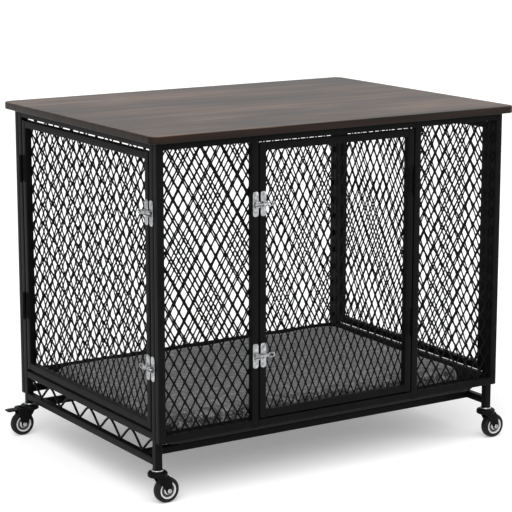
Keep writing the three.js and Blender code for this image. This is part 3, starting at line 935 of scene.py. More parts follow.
@dataclass
class Tabletop:
    """The wooden top: a board with round corners and soft edges."""

    corner: float = 0.02
    ease: float = 0.0022

    def build(self, finishes: Finishes) -> bpy.types.Object:
        """Carries the board's outline from its underside over the rounded edge to its top.

        Args:
            finishes: The crate's finishes.

        Returns:
            The piece.
        """
        low, high = (np.array(corner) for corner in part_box("tabletop"))
        middle, half = (low + high) / 2, (high - low) / 2
        turn = np.linspace(0, math.pi / 2, 5)
        rows = [(self.ease, low[2])]
        rows += [(self.ease * (1 - math.sin(t)), low[2] + self.ease * (1 - math.cos(t))) for t in turn]
        rows += [(self.ease * (1 - math.cos(t)), high[2] - self.ease * (1 - math.sin(t))) for t in turn]
        rows = [(2 * self.ease, low[2]), *rows, (2 * self.ease, high[2])]
        rings = []
        for inset, level in rows:
            outline = rounded_rectangle(half[0] - inset, half[1] - inset, self.corner - inset, 10)
            rings.append(np.column_stack([outline + middle[:2], np.full(len(outline), level)]))
        return Surface().solid(np.array(rings)).piece("tabletop_board", finishes.wood, "frame", "tabletop")


@dataclass
class Tray:
    """The hanging pan: leaning walls, round corners, and a rim on the middle rails."""

    sheet: float = 0.0012
    lean: tuple[float, float] = (0.018, 0.014)
    corner: tuple[float, float] = (0.035, 0.02)
    bottom_round: float = 0.006
    rim: float = 0.011
    rim_half_depth: float = 0.2735

    def build(self, finishes: Finishes) -> bpy.types.Object:
        """Lofts a rounded rectangle up the outside and down the inside, then adds the two rims.

        Args:
            finishes: The crate's finishes.

        Returns:
            The piece.
        """
        low, high = (np.array(corner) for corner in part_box("tray"))
        top_half = np.array([high[0] - self.rim, high[1]])
        bottom, top = low[2], high[2]
        levels = np.linspace(0, 1, 6)
        floor_half = top_half - self.lean
        rows = [(*(floor_half - self.bottom_round), bottom)]
        for share in levels:
            lift = 0.0015 if share == 0 else 0
            half = floor_half + share * np.array(self.lean)
            rows.append((*half, bottom + lift + share * (top - bottom)))
        leaning = self.corner[0] + levels * (self.corner[1] - self.corner[0])
        radii = np.concatenate([[self.corner[0]], leaning])
        outer = [self.ring(x, y, z, r) for (x, y, z), r in zip(rows, radii)]
        inner = []
        for (x, y, z), r in zip(rows, radii):
            level = min(z + self.sheet, top)
            inner.append(self.ring(x - self.sheet, y - self.sheet, level, r - self.sheet))
        surface = Surface().solid(np.array(outer + inner[::-1]))
        for side in (-1, 1):
            x = sorted([side * (top_half[0] - self.sheet / 2), side * (top_half[0] + self.rim)])
            y = self.rim_half_depth
            bar(surface, (x[0], -y, top - self.sheet), (x[1], y, top), 0.0005)
        return surface.piece("hanging_tray", finishes.tray, "frame", "tray", sharp=50)

    def ring(self, x: float, y: float, z: float, radius: float) -> np.ndarray:
        """One level of the pan.

        Args:
            x: Half its length.
            y: Half its depth.
            z: Level.
            radius: Corner radius.

        Returns:
            The ring, (points, 3).
        """
        outline = rounded_rectangle(x, y, radius, 8)
        return np.column_stack([outline, np.full(len(outline), z)])


@dataclass
class Mat:
    """The plush mat: a crowned pad, puffed by cloth simulation, with slow waves on its upper side."""

    voxel: float = 0.008
    cap: float = 0.007
    frames: int = 20
    swell: float = 0.004
    corner: float = 0.04
    grown: tuple[float, float, float] = (0.008, 0.01, 0.004)
    shrink: float = 0.02
    shrink_power: float = 0.45
    wave: float = 0.0012
    slack: float = 0.001
    pressure: float = 4

    def build(self, finishes: Finishes) -> bpy.types.Object:
        """Args:
            finishes: The crate's finishes.

        Returns:
            The piece.
        """
        low, high = (np.array(corner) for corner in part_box("mat"))
        low, high = low - [self.grown[0], self.grown[1], 0], high + self.grown
        middle, half = (low + high) / 2, (high - low) / 2
        shell = Surface().solid(self.form(half - self.swell))
        mesh = bpy.data.meshes.new("plush_mat")
        mesh.from_pydata(np.concatenate(shell.points).tolist(), [], np.concatenate(shell.quads).tolist())
        tidy(mesh)
        pad = bpy.data.objects.new("plush_mat_form", mesh)
        bpy.context.scene.collection.objects.link(pad)
        remesh = pad.modifiers.new("remesh", "REMESH")
        remesh.mode, remesh.voxel_size = "VOXEL", self.voxel
        self.bake(pad)
        rest = self.read(pad)
        self.puff(pad)
        moved = self.read(pad) - rest
        length = np.linalg.norm(moved, axis=1, keepdims=True)
        points = rest + moved * np.minimum(1, self.cap / np.maximum(length, 1e-9))
        points += self.nap(points)
        points = np.clip(points, -half - self.slack, half + self.slack) + middle
        pad.data.vertices.foreach_set("co", points.ravel())
        pad.data.materials.append(finishes.plush[0])
        mesh = pad.data
        bpy.data.objects.remove(pad)
        piece = place("plush_mat", mesh, finishes.plush[1], "frame", ("mat",), 80)
        smooth = piece.modifiers.new("smooth", "SUBSURF")
        smooth.levels = smooth.render_levels = 1
        return piece

    def form(self, half: np.ndarray) -> np.ndarray:
        """The pad's rings from its underside to its top: the outline shrinks as a cushion's does.

        The height follows a sine of the ring's angle, and the inset a power of its cosine.

        Args:
            half: The pad's half sizes.

        Returns:
            The rings, about the origin.
        """
        turn = np.linspace(-math.pi / 2, math.pi / 2, 15)
        rings = []
        for angle in turn:
            inset = self.shrink * (1 - math.cos(angle) ** self.shrink_power)
            outline = rounded_rectangle(half[0] - inset, half[1] - inset, self.corner - 0.5 * inset, 10)
            rings.append(np.column_stack([outline, np.full(len(outline), half[2] * math.sin(angle))]))
        return np.array(rings)

    def nap(self, points: np.ndarray) -> np.ndarray:
        """Slow waves of a few tenths of a millimetre to two, as a sum of sines, on the upper side.

        Args:
            points: The pad's points, about the origin.

        Returns:
            How far each point moves.
        """
        x, y = points[:, 0], points[:, 1]
        waves = np.sin(23 * x + 5 * y) * np.cos(17 * y - 9 * x) + 0.5 * np.sin(61 * x - 43 * y + 1.3)
        lift = np.zeros_like(points)
        lift[:, 2] = self.wave * waves * (points[:, 2] > 0)
        return lift

    def read(self, pad: bpy.types.Object) -> np.ndarray:
        """The pad's points as an array.

        Args:
            pad: The pad.

        Returns:
            The points, (points, 3).
        """
        points = np.zeros(len(pad.data.vertices) * 3)
        pad.data.vertices.foreach_get("co", points)
        return points.reshape(-1, 3)

    def bake(self, pad: bpy.types.Object) -> None:
        """Replaces the pad's mesh by what its modifiers make, and drops them.

        Args:
            pad: The pad.
        """
        graph = bpy.context.evaluated_depsgraph_get()
        mesh = bpy.data.meshes.new_from_object(pad.evaluated_get(graph))
        pad.modifiers.clear()
        pad.data = mesh

    def puff(self, pad: bpy.types.Object) -> None:
        """Runs the cloth simulation with pressure and no gravity, and keeps its result.

        Args:
            pad: The pad.
        """
        cloth = pad.modifiers.new("cloth", "CLOTH")
        cloth.settings.use_pressure = True
        cloth.settings.uniform_pressure_force = self.pressure
        cloth.settings.effector_weights.gravity = 0
        scene = bpy.context.scene
        for step in range(1, self.frames + 1):
            scene.frame_set(step)
        self.bake(pad)
        scene.frame_set(1)


@dataclass
class TrussWire:
    """The zigzag wire in a side frame's lower bay: round wire with short flats."""

    side: Side
    bays: int = 6
    flat_top: float = 0.016
    flat_bottom: float = 0.004

    def build(self, finishes: Finishes) -> bpy.types.Object:
        """Carries a round section along the zigzag's centre line, with its bends rounded.

        Args:
            finishes: The crate's finishes.

        Returns:
            The piece.
        """
        node = f"truss_wire_{self.side.value}"
        low, high = (np.array(corner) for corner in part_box(node))
        radius = (high[0] - low[0]) / 2
        period = (high[1] - low[1] - self.flat_top) / self.bays
        slope = (period - self.flat_top - self.flat_bottom) / 2
        top, bottom = high[2] - radius, low[2] + radius
        bay = np.array([[0, top], [self.flat_top, top], [self.flat_top + slope, bottom],
                        [period - slope, bottom]])
        starts = low[1] + period * np.arange(self.bays)
        last = np.array([[high[1] - self.flat_top, top], [high[1], top]])
        line = np.concatenate([*[bay + [start, 0] for start in starts], last])
        line = eased(line, 2)
        path = np.column_stack([np.full(len(line), (low[0] + high[0]) / 2), line])
        surface = Surface().solid(swept(path, radius, (1, 0, 0), 10))
        return surface.piece(node + "_round", finishes.black, "frame", node)


@dataclass
class DoorHinge:
    """A butt hinge: two leaves with round corners, three knuckles on one pin, and welded edges."""

    door: str
    level: Level
    seam: Seam
    pin_out: float
    height: float = 0.056
    leaf_width: float = 0.011
    sheet: float = 0.0018
    leaf_start: float = 0.0026
    knuckle: float = 0.0035
    middle_length: float = 0.0194
    gap: float = 0.0004
    leaf_corner: float = 0.0025
    pin: float = 0.0024
    pin_past: float = 0.0016
    screw: float = 0.0019
    screw_shift: float = 0.0008
    screw_share: float = 0.62

    def build(self, finishes: Finishes) -> None:
        """Builds the frame leaf with its pin, and the door leaf.

        Args:
            finishes: The crate's finishes.
        """
        name = f"{self.door}_hinge_{self.level.value}"
        half, middle = self.height / 2, self.middle_length / 2
        centre = self.leaf_start + self.leaf_width / 2
        for side, body, part in ((1, "frame", "frame_leaf"), (-1, self.door, "door_leaf")):
            surface = Surface()
            plate = leaf((side * centre, 0), (self.leaf_width / 2, half), self.leaf_corner, (0, -self.sheet))
            surface.solid(self.seam.world(plate))
            outer = [(middle + self.gap, half), (-half, -middle - self.gap)]
            spans = outer if side > 0 else [(-middle, middle)]
            for z in spans:
                surface.solid(self.seam.world(self.rod(self.knuckle, z)))
                neck = leaf((side * self.leaf_start / 2, (z[0] + z[1]) / 2),
                            (self.leaf_start / 2 + 0.0008, abs(z[1] - z[0]) / 2), 0.0005, (0, -self.sheet))
                surface.solid(self.seam.world(neck))
            for z in (-self.screw_share * half, 0.0, self.screw_share * half):
                head = screw_head(side * (centre + self.screw_shift), z, -self.sheet, self.screw)
                surface.solid(self.seam.world(head))
            if side > 0:
                reach = half + self.pin_past
                surface.solid(self.seam.world(self.rod(self.pin, (-reach, reach))))
            surface.piece(f"{name}_{part}_steel", finishes.black, body, f"{name}_{part}")

    def rod(self, radius: float, z: tuple) -> np.ndarray:
        """An upright rod on the pin's axis, with eased ends.

        Args:
            radius: Radius, in metres.
            z: Its two ends.

        Returns:
            The rings, in the seam's directions.
        """
        ease = 0.15 * radius
        low, high = min(z), max(z)
        profile = [(radius - ease, low), (radius, low + ease), (radius, high - ease), (radius - ease, high)]
        return turned(profile, (0, -self.pin_out, 0), Axis.Z, 24)


@dataclass
class DoorLatch:
    """A slide latch: a plate with a barrel on the door, a bolt with a finger loop, and a keeper."""

    door: str
    level: Level
    seam: Seam
    plate_start: float = 0.0025
    plate_width: float = 0.013
    plate_height: float = 0.05
    sheet: float = 0.0015
    axis_out: float = 0.0062
    bolt: float = 0.0025
    reach: float = 0.014
    barrel: float = 0.0041
    barrel_length: float = 0.01
    lug_out: float = 0.0102
    plate_corner: float = 0.0055
    screw_share: float = 0.72
    rib_share: float = 0.4
    rib_half: tuple[float, float] = (0.0022, 0.0032)
    foot_level: float = 0.0042
    lug_level: float = 0.0045
    loop_half: tuple[float, float] = (0.0072, 0.0041)
    loop_wire: float = 0.0011
    loop_past: float = 0.0062

    def build(self, finishes: Finishes) -> None:
        """Builds the housing, the keeper and the bolt.

        Args:
            finishes: The crate's finishes.
        """
        self.build_plate(finishes, 1, self.door, "housing")
        self.build_plate(finishes, -1, "frame", "keeper")
        self.build_bolt(finishes)

    def centre(self) -> float:
        """The middle of either plate, from the seam.

        Returns:
            The plate's middle, in metres.
        """
        return self.plate_start + self.plate_width / 2

    def build_plate(self, finishes: Finishes, side: int, body: str, part: str) -> None:
        """A plate with round ends, two screws, a pressed rib, and the barrel or the lugs.

        Args:
            finishes: The crate's finishes.
            side: 1 for the housing on the door, -1 for the keeper.
            body: The CAD body that it moves with.
            part: Which of the two, as the CAD node's name ends.
        """
        surface = Surface()
        half = (self.plate_width / 2, self.plate_height / 2)
        middle = side * self.centre()
        surface.solid(self.seam.world(leaf((middle, 0), half, self.plate_corner, (0, -self.sheet), 0.0005)))
        for z in (-self.screw_share * half[1], self.screw_share * half[1]):
            surface.solid(self.seam.world(screw_head(middle, z, -self.sheet)))
        for z in (-self.rib_share * half[1], self.rib_share * half[1]):
            rib = leaf((middle, z), self.rib_half, 0.0021, (-0.8 * self.sheet, -self.sheet - 0.0006))
            surface.solid(self.seam.world(rib))
        if side > 0:
            surface.grid(self.seam.world(self.sleeve(middle)), wrap_rows=True)
            for z in (-1, 1):
                foot = leaf((middle, z * self.foot_level), (self.barrel_length / 2, 0.0012), 0.0004,
                            (-0.5 * self.sheet, -self.axis_out))
                surface.solid(self.seam.world(foot))
        else:
            for z in (-1, 1):
                lug = leaf((middle, z * self.lug_level), (self.barrel_length / 2, 0.0016), 0.0012,
                           (-0.5 * self.sheet, -self.lug_out), 0.0006)
                surface.solid(self.seam.world(lug))
        node = f"{self.door}_latch_{self.level.value}_{part}"
        surface.piece(node + "_plated", finishes.zinc, body, node)

    def sleeve(self, middle: float) -> np.ndarray:
        """The barrel: a short tube round the bolt, as a closed profile turned about the bolt's axis.

        Args:
            middle: The plate's middle, across the seam.

        Returns:
            The rings, closed on themselves.
        """
        half, bore = self.barrel_length / 2, self.bolt + 0.0004
        profile = [(bore, -half), (self.barrel - 0.0003, -half), (self.barrel, -half + 0.0003),
                   (self.barrel, half - 0.0003), (self.barrel - 0.0003, half), (bore, half)]
        return turned(profile, (middle, -self.axis_out, 0), Axis.X, 24)

    def build_bolt(self, finishes: Finishes) -> None:
        """The bolt with its eased tip, and a wire loop for a finger at its other end.

        Args:
            finishes: The crate's finishes.
        """
        end = self.plate_start + self.plate_width + 0.003
        tip = [(0.0012, -self.reach), (self.bolt, -self.reach + 0.0014)]
        profile = [*tip, (self.bolt, end - 0.0006), (0.0018, end)]
        surface = Surface().solid(self.seam.world(turned(profile, (0, -self.axis_out, 0), Axis.X, 20)))
        outline = rounded_rectangle(*self.loop_half, 0.004, 6)
        middle = end + self.loop_past
        path = np.column_stack([outline[:, 0] + middle, np.full(len(outline), -self.axis_out), outline[:, 1]])
        loop = swept(path, self.loop_wire, (0, 1, 0), 10, closed=True)
        surface.grid(self.seam.world(loop), wrap_rows=True)
        node = f"{self.door}_latch_{self.level.value}_bolt"
        surface.piece(node + "_plated", finishes.zinc, f"{self.door}_bolt_{self.level.value}", node)


@dataclass
class Caster:
    """A swivel caster: stem with washers, fork, wheel, and on the back two a brake pedal."""

    corner: Corner
    stem: np.ndarray = field(default_factory=lambda: np.zeros(3))
    turn: int = 1
    trail: float = 0.019
    wheel: float = 0.026
    rim: float = 0.018
    tyre_half: float = 0.009
    hub_half: float = 0.01
    axle: float = 0.003
    crown: float = 0.02
    arm_inner: float = 0.011
    arm_sheet: float = 0.002
    crown_bottom: float = 0.0563
    axle_half: float = 0.0136
    pedal_pivot: float = 0.027
    pedal_reach: float = 0.056
    pedal_neck: float = 0.003
    pedal_ribs: tuple[float, ...] = (0.04, 0.0445, 0.049)
    eye: float = 0.0068

    @property
    def place(self) -> str:
        """The corner's name, as the CAD nodes and bodies have it.

        Returns:
            The name.
        """
        return self.corner.value

    @property
    def braked(self) -> bool:
        """Whether this caster has a brake pedal, as the back two have.

        Returns:
            True if it has one.
        """
        return self.corner in (Corner.BACK_LEFT, Corner.BACK_RIGHT)

    def build(self, finishes: Finishes) -> None:
        """Finds the stem and builds each part round it.

        Args:
            finishes: The crate's finishes.
        """
        low, high = (np.array(corner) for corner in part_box(f"caster_{self.place}_stem"))
        self.stem = np.array([(low[0] + high[0]) / 2, (low[1] + high[1]) / 2, 0])
        self.turn = -1 if self.braked else 1
        self.build_stem(finishes, low[2], high[2])
        self.build_fork(finishes)
        self.build_wheel(finishes)
        if self.braked:
            self.build_pedal(finishes)

    def world(self, points: np.ndarray) -> np.ndarray:
        """Moves points from round the stem to the crate, turning +X to the wheel's side.

        Args:
            points: Points, in its own directions.

        Returns:
            Points, in the crate's directions.
        """
        return points * [self.turn, 1, 1] + self.stem

    def build_stem(self, finishes: Finishes, low: float, high: float) -> None:
        """A bright washer under the leg, the pin, and the rivet head under the crown.

        Args:
            finishes: The crate's finishes.
            low: Its lowest level.
            high: Its highest level.
        """
        profile = [(0.0055, low), (0.007, low + 0.0012), (0.007, low + 0.0034), (0.004, low + 0.0036),
                   (0.004, high - 0.003), (0.0115, high - 0.003), (0.012, high - 0.0022),
                   (0.012, high - 0.0008), (0.0115, high)]
        surface = Surface().solid(self.world(turned(profile, (0, 0, 0), Axis.Z)))
        node = f"caster_{self.place}_stem"
        surface.piece(node + "_plated", finishes.zinc, "frame", node)

    def arm(self, inner: float, outer: float) -> np.ndarray:
        """One arm's rings: its tapered outline, from its inner face to its outer face.

        Args:
            inner: y of its inner face.
            outer: y of its outer face.

        Returns:
            The rings, round the stem.
        """
        turn = np.linspace(-math.pi, 0, 13)
        foot = np.column_stack([self.trail + self.eye * np.cos(turn), self.wheel + self.eye * np.sin(turn)])
        if self.braked:
            top = [[0.031, 0.0555], [0.0312, 0.061], [0.028, 0.0632], [0.014, 0.0632], [-0.008, 0.058]]
        else:
            top = [[0.0262, 0.04], [0.0225, 0.052], [0.0185, 0.058], [-0.008, 0.058]]
        outline = np.concatenate([foot, top])
        middle = outline.mean(axis=0)
        ease, step = 0.0004, 0.0003 * np.sign(outer - inner)
        rings = []
        for inset, level in ((ease, inner), (0, inner + step), (0, outer - step), (ease, outer)):
            shrunk = middle + (outline - middle) * (1 - inset / 0.012)
            rings.append(np.column_stack([shrunk[:, 0], np.full(len(outline), level), shrunk[:, 1]]))
        return np.array(rings)

    def build_fork(self, finishes: Finishes) -> None:
        """The domed crown, two arms, and the axle with a nut on each end.

        Args:
            finishes: The crate's finishes.
        """
        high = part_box(f"caster_{self.place}_fork")[1]
        bottom, top = self.crown_bottom, high[2]
        edge = self.crown
        lower = [(0.0045, bottom), (edge - 0.002, bottom), (edge - 0.0004, bottom + 0.0008)]
        upper = [(edge - 0.001, top - 0.0015), (edge - 0.004, top), (0.0045, top)]
        crown = [*lower, (edge, bottom + 0.002), (edge, top - 0.0035), *upper]
        surface = Surface().grid(self.world(turned(crown, (0, 0, 0), Axis.Z, 40)), wrap_rows=True)
        for side in (-1, 1):
            outer = self.arm_inner + self.arm_sheet
            surface.solid(self.world(self.arm(side * self.arm_inner, side * outer)))
        pin = [(self.axle, -self.axle_half), (self.axle, self.axle_half)]
        surface.solid(self.world(turned(pin, (self.trail, 0, self.wheel), Axis.Y, 20)), material=1)
        for side in (-1, 1):
            nut = [(0.0052, 0.013), (0.0052, 0.0152), (0.0046, 0.0158), (0.0024, 0.0158), (0.0022, 0.0166)]
            flats = turned([(r, side * h) for r, h in nut], (self.trail, 0, self.wheel), Axis.Y, 6)
            surface.solid(self.world(flats), material=1)
        node = f"caster_{self.place}_fork"
        surface.piece(node + "_steel", [finishes.black, finishes.zinc], f"swivel_{self.place}", node)

    def build_wheel(self, finishes: Finishes) -> None:
        """The rounded rubber tread, and the hub with its pale ring and dished web.

        Args:
            finishes: The crate's finishes.
        """
        centre = (self.trail, 0, self.wheel)
        body = f"wheel_{self.place}"
        turn = np.linspace(-math.pi / 2, math.pi / 2, 9)
        tread = [(self.wheel - 0.005 + 0.005 * math.cos(t), (self.tyre_half - 0.003) * math.sin(t)
                  + 0.003 * np.sign(round(math.sin(t), 6))) for t in turn]
        profile = [(self.rim, -self.tyre_half), *tread, (self.rim, self.tyre_half)]
        node = f"caster_{self.place}_tyre"
        tyre = Surface().grid(self.world(turned(profile, centre, Axis.Y, 48)), wrap_rows=True)
        tyre.piece(node + "_rubber", finishes.tyre, body, node, sharp=50)
        node = f"caster_{self.place}_hub"
        bore, rim = self.axle + 0.0003, self.rim - 0.0002
        half = self.hub_half
        web = [(0.0086, half - 0.0024), (0.0102, half - 0.004), (0.0142, half - 0.0042)]
        ring = [(0.0141, half - 0.0044), (0.0146, half - 0.0016)]
        ring += [(rim - 0.0008, half - 0.0012), (rim, half - 0.002)]
        boss = [(bore, half), (0.0072, half), (0.0084, half - 0.0008), (0.0088, half - 0.003)]
        surface = Surface()
        for side, material in ((web, 0), (ring, 1), (boss, 1)):
            whole = [(r, -h) for r, h in side] + side[::-1]
            grid = self.world(turned(whole, centre, Axis.Y, 48))
            surface.grid(grid, wrap_rows=True, material=material)
        surface.piece(node + "_moulded", [finishes.hub, finishes.ring], body, node, sharp=50)

    def build_pedal(self, finishes: Finishes) -> None:
        """The brake pedal: a ribbed plate that widens from its pivot barrel.

        Args:
            finishes: The crate's finishes.
        """
        low, high = (np.array(corner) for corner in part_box(f"caster_{self.place}_pedal"))
        pivot, reach = self.pedal_pivot, self.pedal_reach
        level = (low[2] + high[2]) / 2
        half = (high[1] - low[1]) / 2
        barrel = [(0.0024, -half), (0.004, -half), (0.0042, -half + 0.0003), (0.0042, half - 0.0003),
                  (0.004, half), (0.0024, half)]
        surface = Surface().grid(self.world(turned(barrel, (pivot, 0, level), Axis.Y, 24)), wrap_rows=True)
        outline = rounded_rectangle((reach - pivot - self.pedal_neck) / 2, half, 0.005, 6)
        outline[:, 0] += (reach + pivot + self.pedal_neck) / 2
        rings = []
        for inset, z in ((0.0006, -0.0015), (0, -0.0009), (0, 0.0009), (0.0006, 0.0015)):
            middle = np.array([(reach + pivot + self.pedal_neck) / 2, 0])
            shrunk = middle + (outline - middle) * (1 - inset / 0.01)
            rings.append(np.column_stack([shrunk, np.full(len(outline), level + z)]))
        surface.solid(self.world(np.array(rings)))
        for x in self.pedal_ribs:
            rib = Surface()
            corners = (x - 0.0008, -0.75 * half, level + 0.001), (x + 0.0008, 0.75 * half, level + 0.0021)
            bar(rib, *corners, 0.0004)
            surface.raw(self.world(rib.points[0]), rib.quads[0] + surface.count)
        node = f"caster_{self.place}_pedal"
        surface.piece(node + "_pressed", finishes.black, f"pedal_{self.place}", node)


# ------------------------------------------------------------------------------ assemblies
@dataclass
class CrateBody:
    """The fixed part of the crate: frames, meshes, truss wires, cross bars, tray, mat and top."""

    finishes: Finishes
    tube: float = TUBE
    bolt_levels: tuple[float, ...] = (0.155, 0.632)

    def window(self, node: str) -> tuple[float, float, float, float]:
        """A mesh's window: its lowest and highest place across, then its lowest and highest level.

        Args:
            node: The CAD node.

        Returns:
            The two places across and the two levels.
        """
        low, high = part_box(node)
        flat = 0 if high[0] - low[0] > high[1] - low[1] else 1
        return low[flat], high[flat], low[2], high[2]

    def build(self) -> None:
        """Builds every piece that rides on the frame body."""
        left, right = self.window("front_mesh_left"), self.window("front_mesh_right")
        doorway = (left[1] + self.tube, right[0] - self.tube, left[2], left[3])
        TubeFrame("front_frame", "frame", [left, doorway, right]).build(self.finishes)
        TubeFrame("back_frame", "frame", [self.window("back_mesh")]).build(self.finishes)
        TubeFrame("right_panel_frame", "frame", [self.window("right_panel_mesh")]).build(self.finishes)
        for side in Side:
            self.build_side(side)
        for node in ("front_mesh_left", "front_mesh_right", "back_mesh", "right_panel_mesh"):
            ExpandedMetal(node, "frame", **MESH_SIZES.get(node, {})).build(self.finishes)
        for node in ("cross_bar_front", "cross_bar_back"):
            surface = Surface()
            bar(surface, *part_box(node), TUBE_EDGE)
            surface.piece(node + "_tube", self.finishes.black, "frame", node)
        Tray().build(self.finishes)
        Mat().build(self.finishes)
        Tabletop().build(self.finishes)
        self.build_bolts()

    def build_side(self, side: Side) -> None:
        """A side frame: legs, low rail, middle rail and top rail, and its truss wire.

        Args:
            side: Which side.
        """
        low, high = (np.array(corner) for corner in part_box(f"side_frame_{side.value}"))
        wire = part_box(f"truss_wire_{side.value}")
        tube = high[0] - low[0]
        surface = Surface()
        for y in ((low[1], low[1] + tube), (high[1] - tube, high[1])):
            bar(surface, (low[0], y[0], low[2]), (high[0], y[1], high[2]), TUBE_EDGE)
        for z in (wire[0][2] - tube, wire[1][2], high[2] - tube):
            bar(surface, (low[0], low[1] + tube, z), (high[0], high[1] - tube, z + tube), TUBE_EDGE)
        node = f"side_frame_{side.value}"
        surface.piece(node + "_tubes", self.finishes.black, "frame", node)
        TrussWire(side).build(self.finishes)

    def build_bolts(self) -> None:
        """The button heads that hold the front and back panels to the legs."""
        low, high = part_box("front_frame")
        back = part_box("back_frame")[1][1]
        surface = Surface()
        profile = [(0.0062, 0), (0.0062, 0.0006), (0.0052, 0.002), (0.003, 0.003)]
        profile += [(0.0022, 0.0031), (0.0016, 0.0018)]
        for face, out in ((low[1], -1), (back, 1)):
            for x in (low[0] + self.tube / 2, high[0] - self.tube / 2):
                for z in self.bolt_levels:
                    head = [(r, out * h) for r, h in profile]
                    surface.solid(turned(head, (x, face, z), Axis.Y, 20))
        surface.piece("panel_bolt_heads", self.finishes.black, "frame")


@dataclass
class Door:
    """A door: its tubes, its mesh, two hinges and two latches."""

    name: str
    finishes: Finishes
    seams: tuple[Seam, Seam]
    pin_out: float

    def build(self) -> None:
        """Builds the leaf of the door, then the hardware at both seams."""
        body = CrateBody(self.finishes)
        TubeFrame(f"{self.name}_frame", self.name, [body.window(f"{self.name}_mesh")]).build(self.finishes)
        mesh = f"{self.name}_mesh"
        ExpandedMetal(mesh, self.name, **MESH_SIZES.get(mesh, {})).build(self.finishes)
        for level in Level:
            hinge = self.at(self.seams[0], f"{self.name}_hinge_{level.value}_frame_leaf")
            DoorHinge(self.name, level, hinge, self.pin_out).build(self.finishes)
            latch = self.at(self.seams[1], f"{self.name}_latch_{level.value}_keeper")
            DoorLatch(self.name, level, latch).build(self.finishes)

    def at(self, seam: Seam, node: str) -> Seam:
        """The same seam at the level of a CAD node.

        Args:
            seam: The seam, at any level.
            node: The CAD node.

        Returns:
            The seam, moved in height only.
        """
        low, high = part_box(node)
        origin = np.array([seam.origin[0], seam.origin[1], (low[2] + high[2]) / 2])
        return Seam(origin, seam.right, seam.inward, seam.hand)


def doors(finishes: Finishes) -> list[Door]:
    """The two doors, with their seams placed from the joints and the frames' outer faces.

    Args:
        finishes: The crate's finishes.

    Returns:
        The front door and the side door.
    """
    pins = {joint["name"]: joint["pos_m"] for joint in frame["joints"] if "pos_m" in joint}
    front_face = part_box("front_frame")[0][1]
    left_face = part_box("side_frame_left")[0][0]
    x, y = pins["front_door_swing"][:2]
    across, inward = np.array([1.0, 0, 0]), np.array([0, 1.0, 0])
    front_seams = (Seam(np.array([x, front_face, 0]), across, inward),
                   Seam(np.array([-x, front_face, 0]), across, inward))
    front = Door("front_door", finishes, front_seams, front_face - y)
    x, y = pins["side_door_swing"][:2]
    across, inward = np.array([0, -1.0, 0]), np.array([1.0, 0, 0])
    side_seams = (Seam(np.array([left_face, y, 0]), across, inward, -1),
                  Seam(np.array([left_face, -y, 0]), across, inward, -1))
    side = Door("side_door", finishes, side_seams, left_face - x)
    return [front, side]


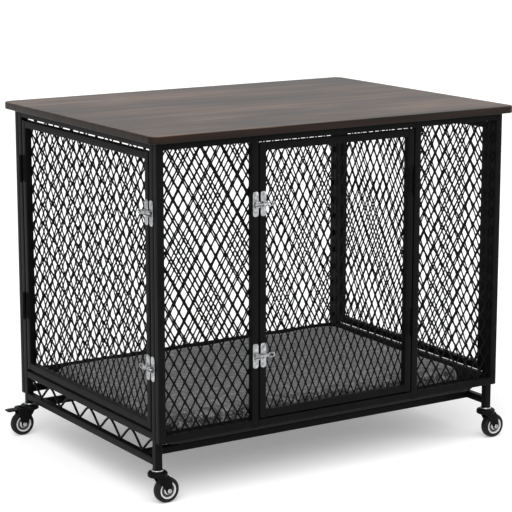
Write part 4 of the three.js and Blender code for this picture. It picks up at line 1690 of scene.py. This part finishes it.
# ------------------------------------------------------------------------------ stage
@dataclass
class Studio:
    """The camera, a plain pale floor, soft lamps and a white surround."""

    camera_place: tuple[float, float, float] = (-2.2001, -3.4439, 1.2410)
    yaw: float = 32.55
    pitch: float = -11.62
    lens: float = 136.6
    sensor: float = 36
    aim_height: float = 0.4
    floor_reach: float = 30.0
    floor_greys: tuple[float, float] = (0.93, 0.95)
    surround: float = 0.52
    floor_glow: float = 0.26
    sun: float = 1.7
    sun_angle: float = 55.0
    sun_place: tuple[float, float, float] = (-1.6, -2.4, 4.2)
    lamps: tuple = (("key", (-2.6, -3.2, 2.6), 1.6, 30.0), ("rim", (2.6, -2.2, 1.6), 1.2, 14.0))

    def build(self) -> None:
        """Sets up the whole stage."""
        scene = bpy.context.scene
        scene.view_settings.view_transform = "Standard"
        data = bpy.data.cameras.new("camera")
        data.lens, data.sensor_width = self.lens, self.sensor
        camera = bpy.data.objects.new("camera", data)
        camera.location = self.camera_place
        camera.rotation_euler = (math.radians(90 + self.pitch), 0, math.radians(-self.yaw))
        scene.collection.objects.link(camera)
        scene.camera = camera
        self.build_world(scene)
        self.build_floor(scene)
        for name, spot, size, power in self.lamps:
            data = bpy.data.lights.new(name, "AREA")
            data.energy, data.size = power, size
            self.aim(scene, data, spot)
        data = bpy.data.lights.new("sun", "SUN")
        data.energy, data.angle = self.sun, math.radians(self.sun_angle)
        self.aim(scene, data, self.sun_place)

    def build_world(self, scene: bpy.types.Scene) -> None:
        """An even surround for light, which the camera and reflections see as white.

        Args:
            scene: The Blender scene.
        """
        world = bpy.data.worlds.new("surround")
        scene.world = world
        world.use_nodes = True
        tree = world.node_tree
        tree.nodes.clear()
        light, seen = (tree.nodes.new("ShaderNodeBackground") for _ in range(2))
        light.inputs["Strength"].default_value = self.surround
        light.inputs["Color"].default_value = (1, 1, 1, 1)
        seen.inputs["Color"].default_value = (1, 1, 1, 1)
        mix = tree.nodes.new("ShaderNodeMixShader")
        out = tree.nodes.new("ShaderNodeOutputWorld")
        tree.links.new(shown_rays(tree), mix.inputs[0])
        tree.links.new(light.outputs[0], mix.inputs[1])
        tree.links.new(seen.outputs[0], mix.inputs[2])
        tree.links.new(mix.outputs[0], out.inputs[0])

    def build_floor(self, scene: bpy.types.Scene) -> None:
        """A pale matt floor that keeps the crate's shadow.

        Args:
            scene: The Blender scene.
        """
        mesh = bpy.data.meshes.new("floor")
        reach = self.floor_reach
        corners = [(-reach, -reach, 0), (reach, -reach, 0), (reach, reach, 0), (-reach, reach, 0)]
        mesh.from_pydata(corners, [], [(0, 1, 2, 3)])
        recipe = Recipe("pale_floor")
        shade = recipe.noise(3, detail=3)
        colour = recipe.ramp(shade, [(0.3, (self.floor_greys[0],) * 3), (0.7, (self.floor_greys[1],) * 3)])
        recipe.feed(recipe.shader.inputs["Base Color"], colour)
        recipe.shader.inputs["Roughness"].default_value = 0.8
        recipe.shader.inputs["Emission Color"].default_value = (1, 1, 1, 1)
        glow = recipe.add("Math", {0: shown_rays(recipe.tree), 1: self.floor_glow}, operation="MULTIPLY")
        recipe.feed(recipe.shader.inputs["Emission Strength"], glow.outputs[0])
        mesh.materials.append(recipe.material)
        floor = bpy.data.objects.new("floor", mesh)
        scene.collection.objects.link(floor)

    def aim(self, scene: bpy.types.Scene, data: bpy.types.Light, spot: tuple) -> None:
        """Hangs a lamp at a spot and points it at the crate's middle.

        Args:
            scene: The Blender scene.
            data: The lamp.
            spot: Where it hangs.
        """
        lamp = bpy.data.objects.new(data.name, data)
        lamp.location = spot
        way = np.array([0, 0, self.aim_height]) - np.array(spot)
        tilt = math.atan2(math.hypot(way[0], way[1]), -way[2])
        lamp.rotation_euler = (tilt, 0, math.atan2(way[1], way[0]) - math.pi / 2)
        scene.collection.objects.link(lamp)


def main() -> None:
    """Builds the stage and every part of the crate in order."""
    logging.basicConfig(level=logging.INFO, format="%(message)s")
    Studio().build()
    finishes = Finishes()
    CrateBody(finishes).build()
    for door in doors(finishes):
        door.build()
    for corner in Corner:
        Caster(corner).build(finishes)


if __name__ == "__main__":
    main()
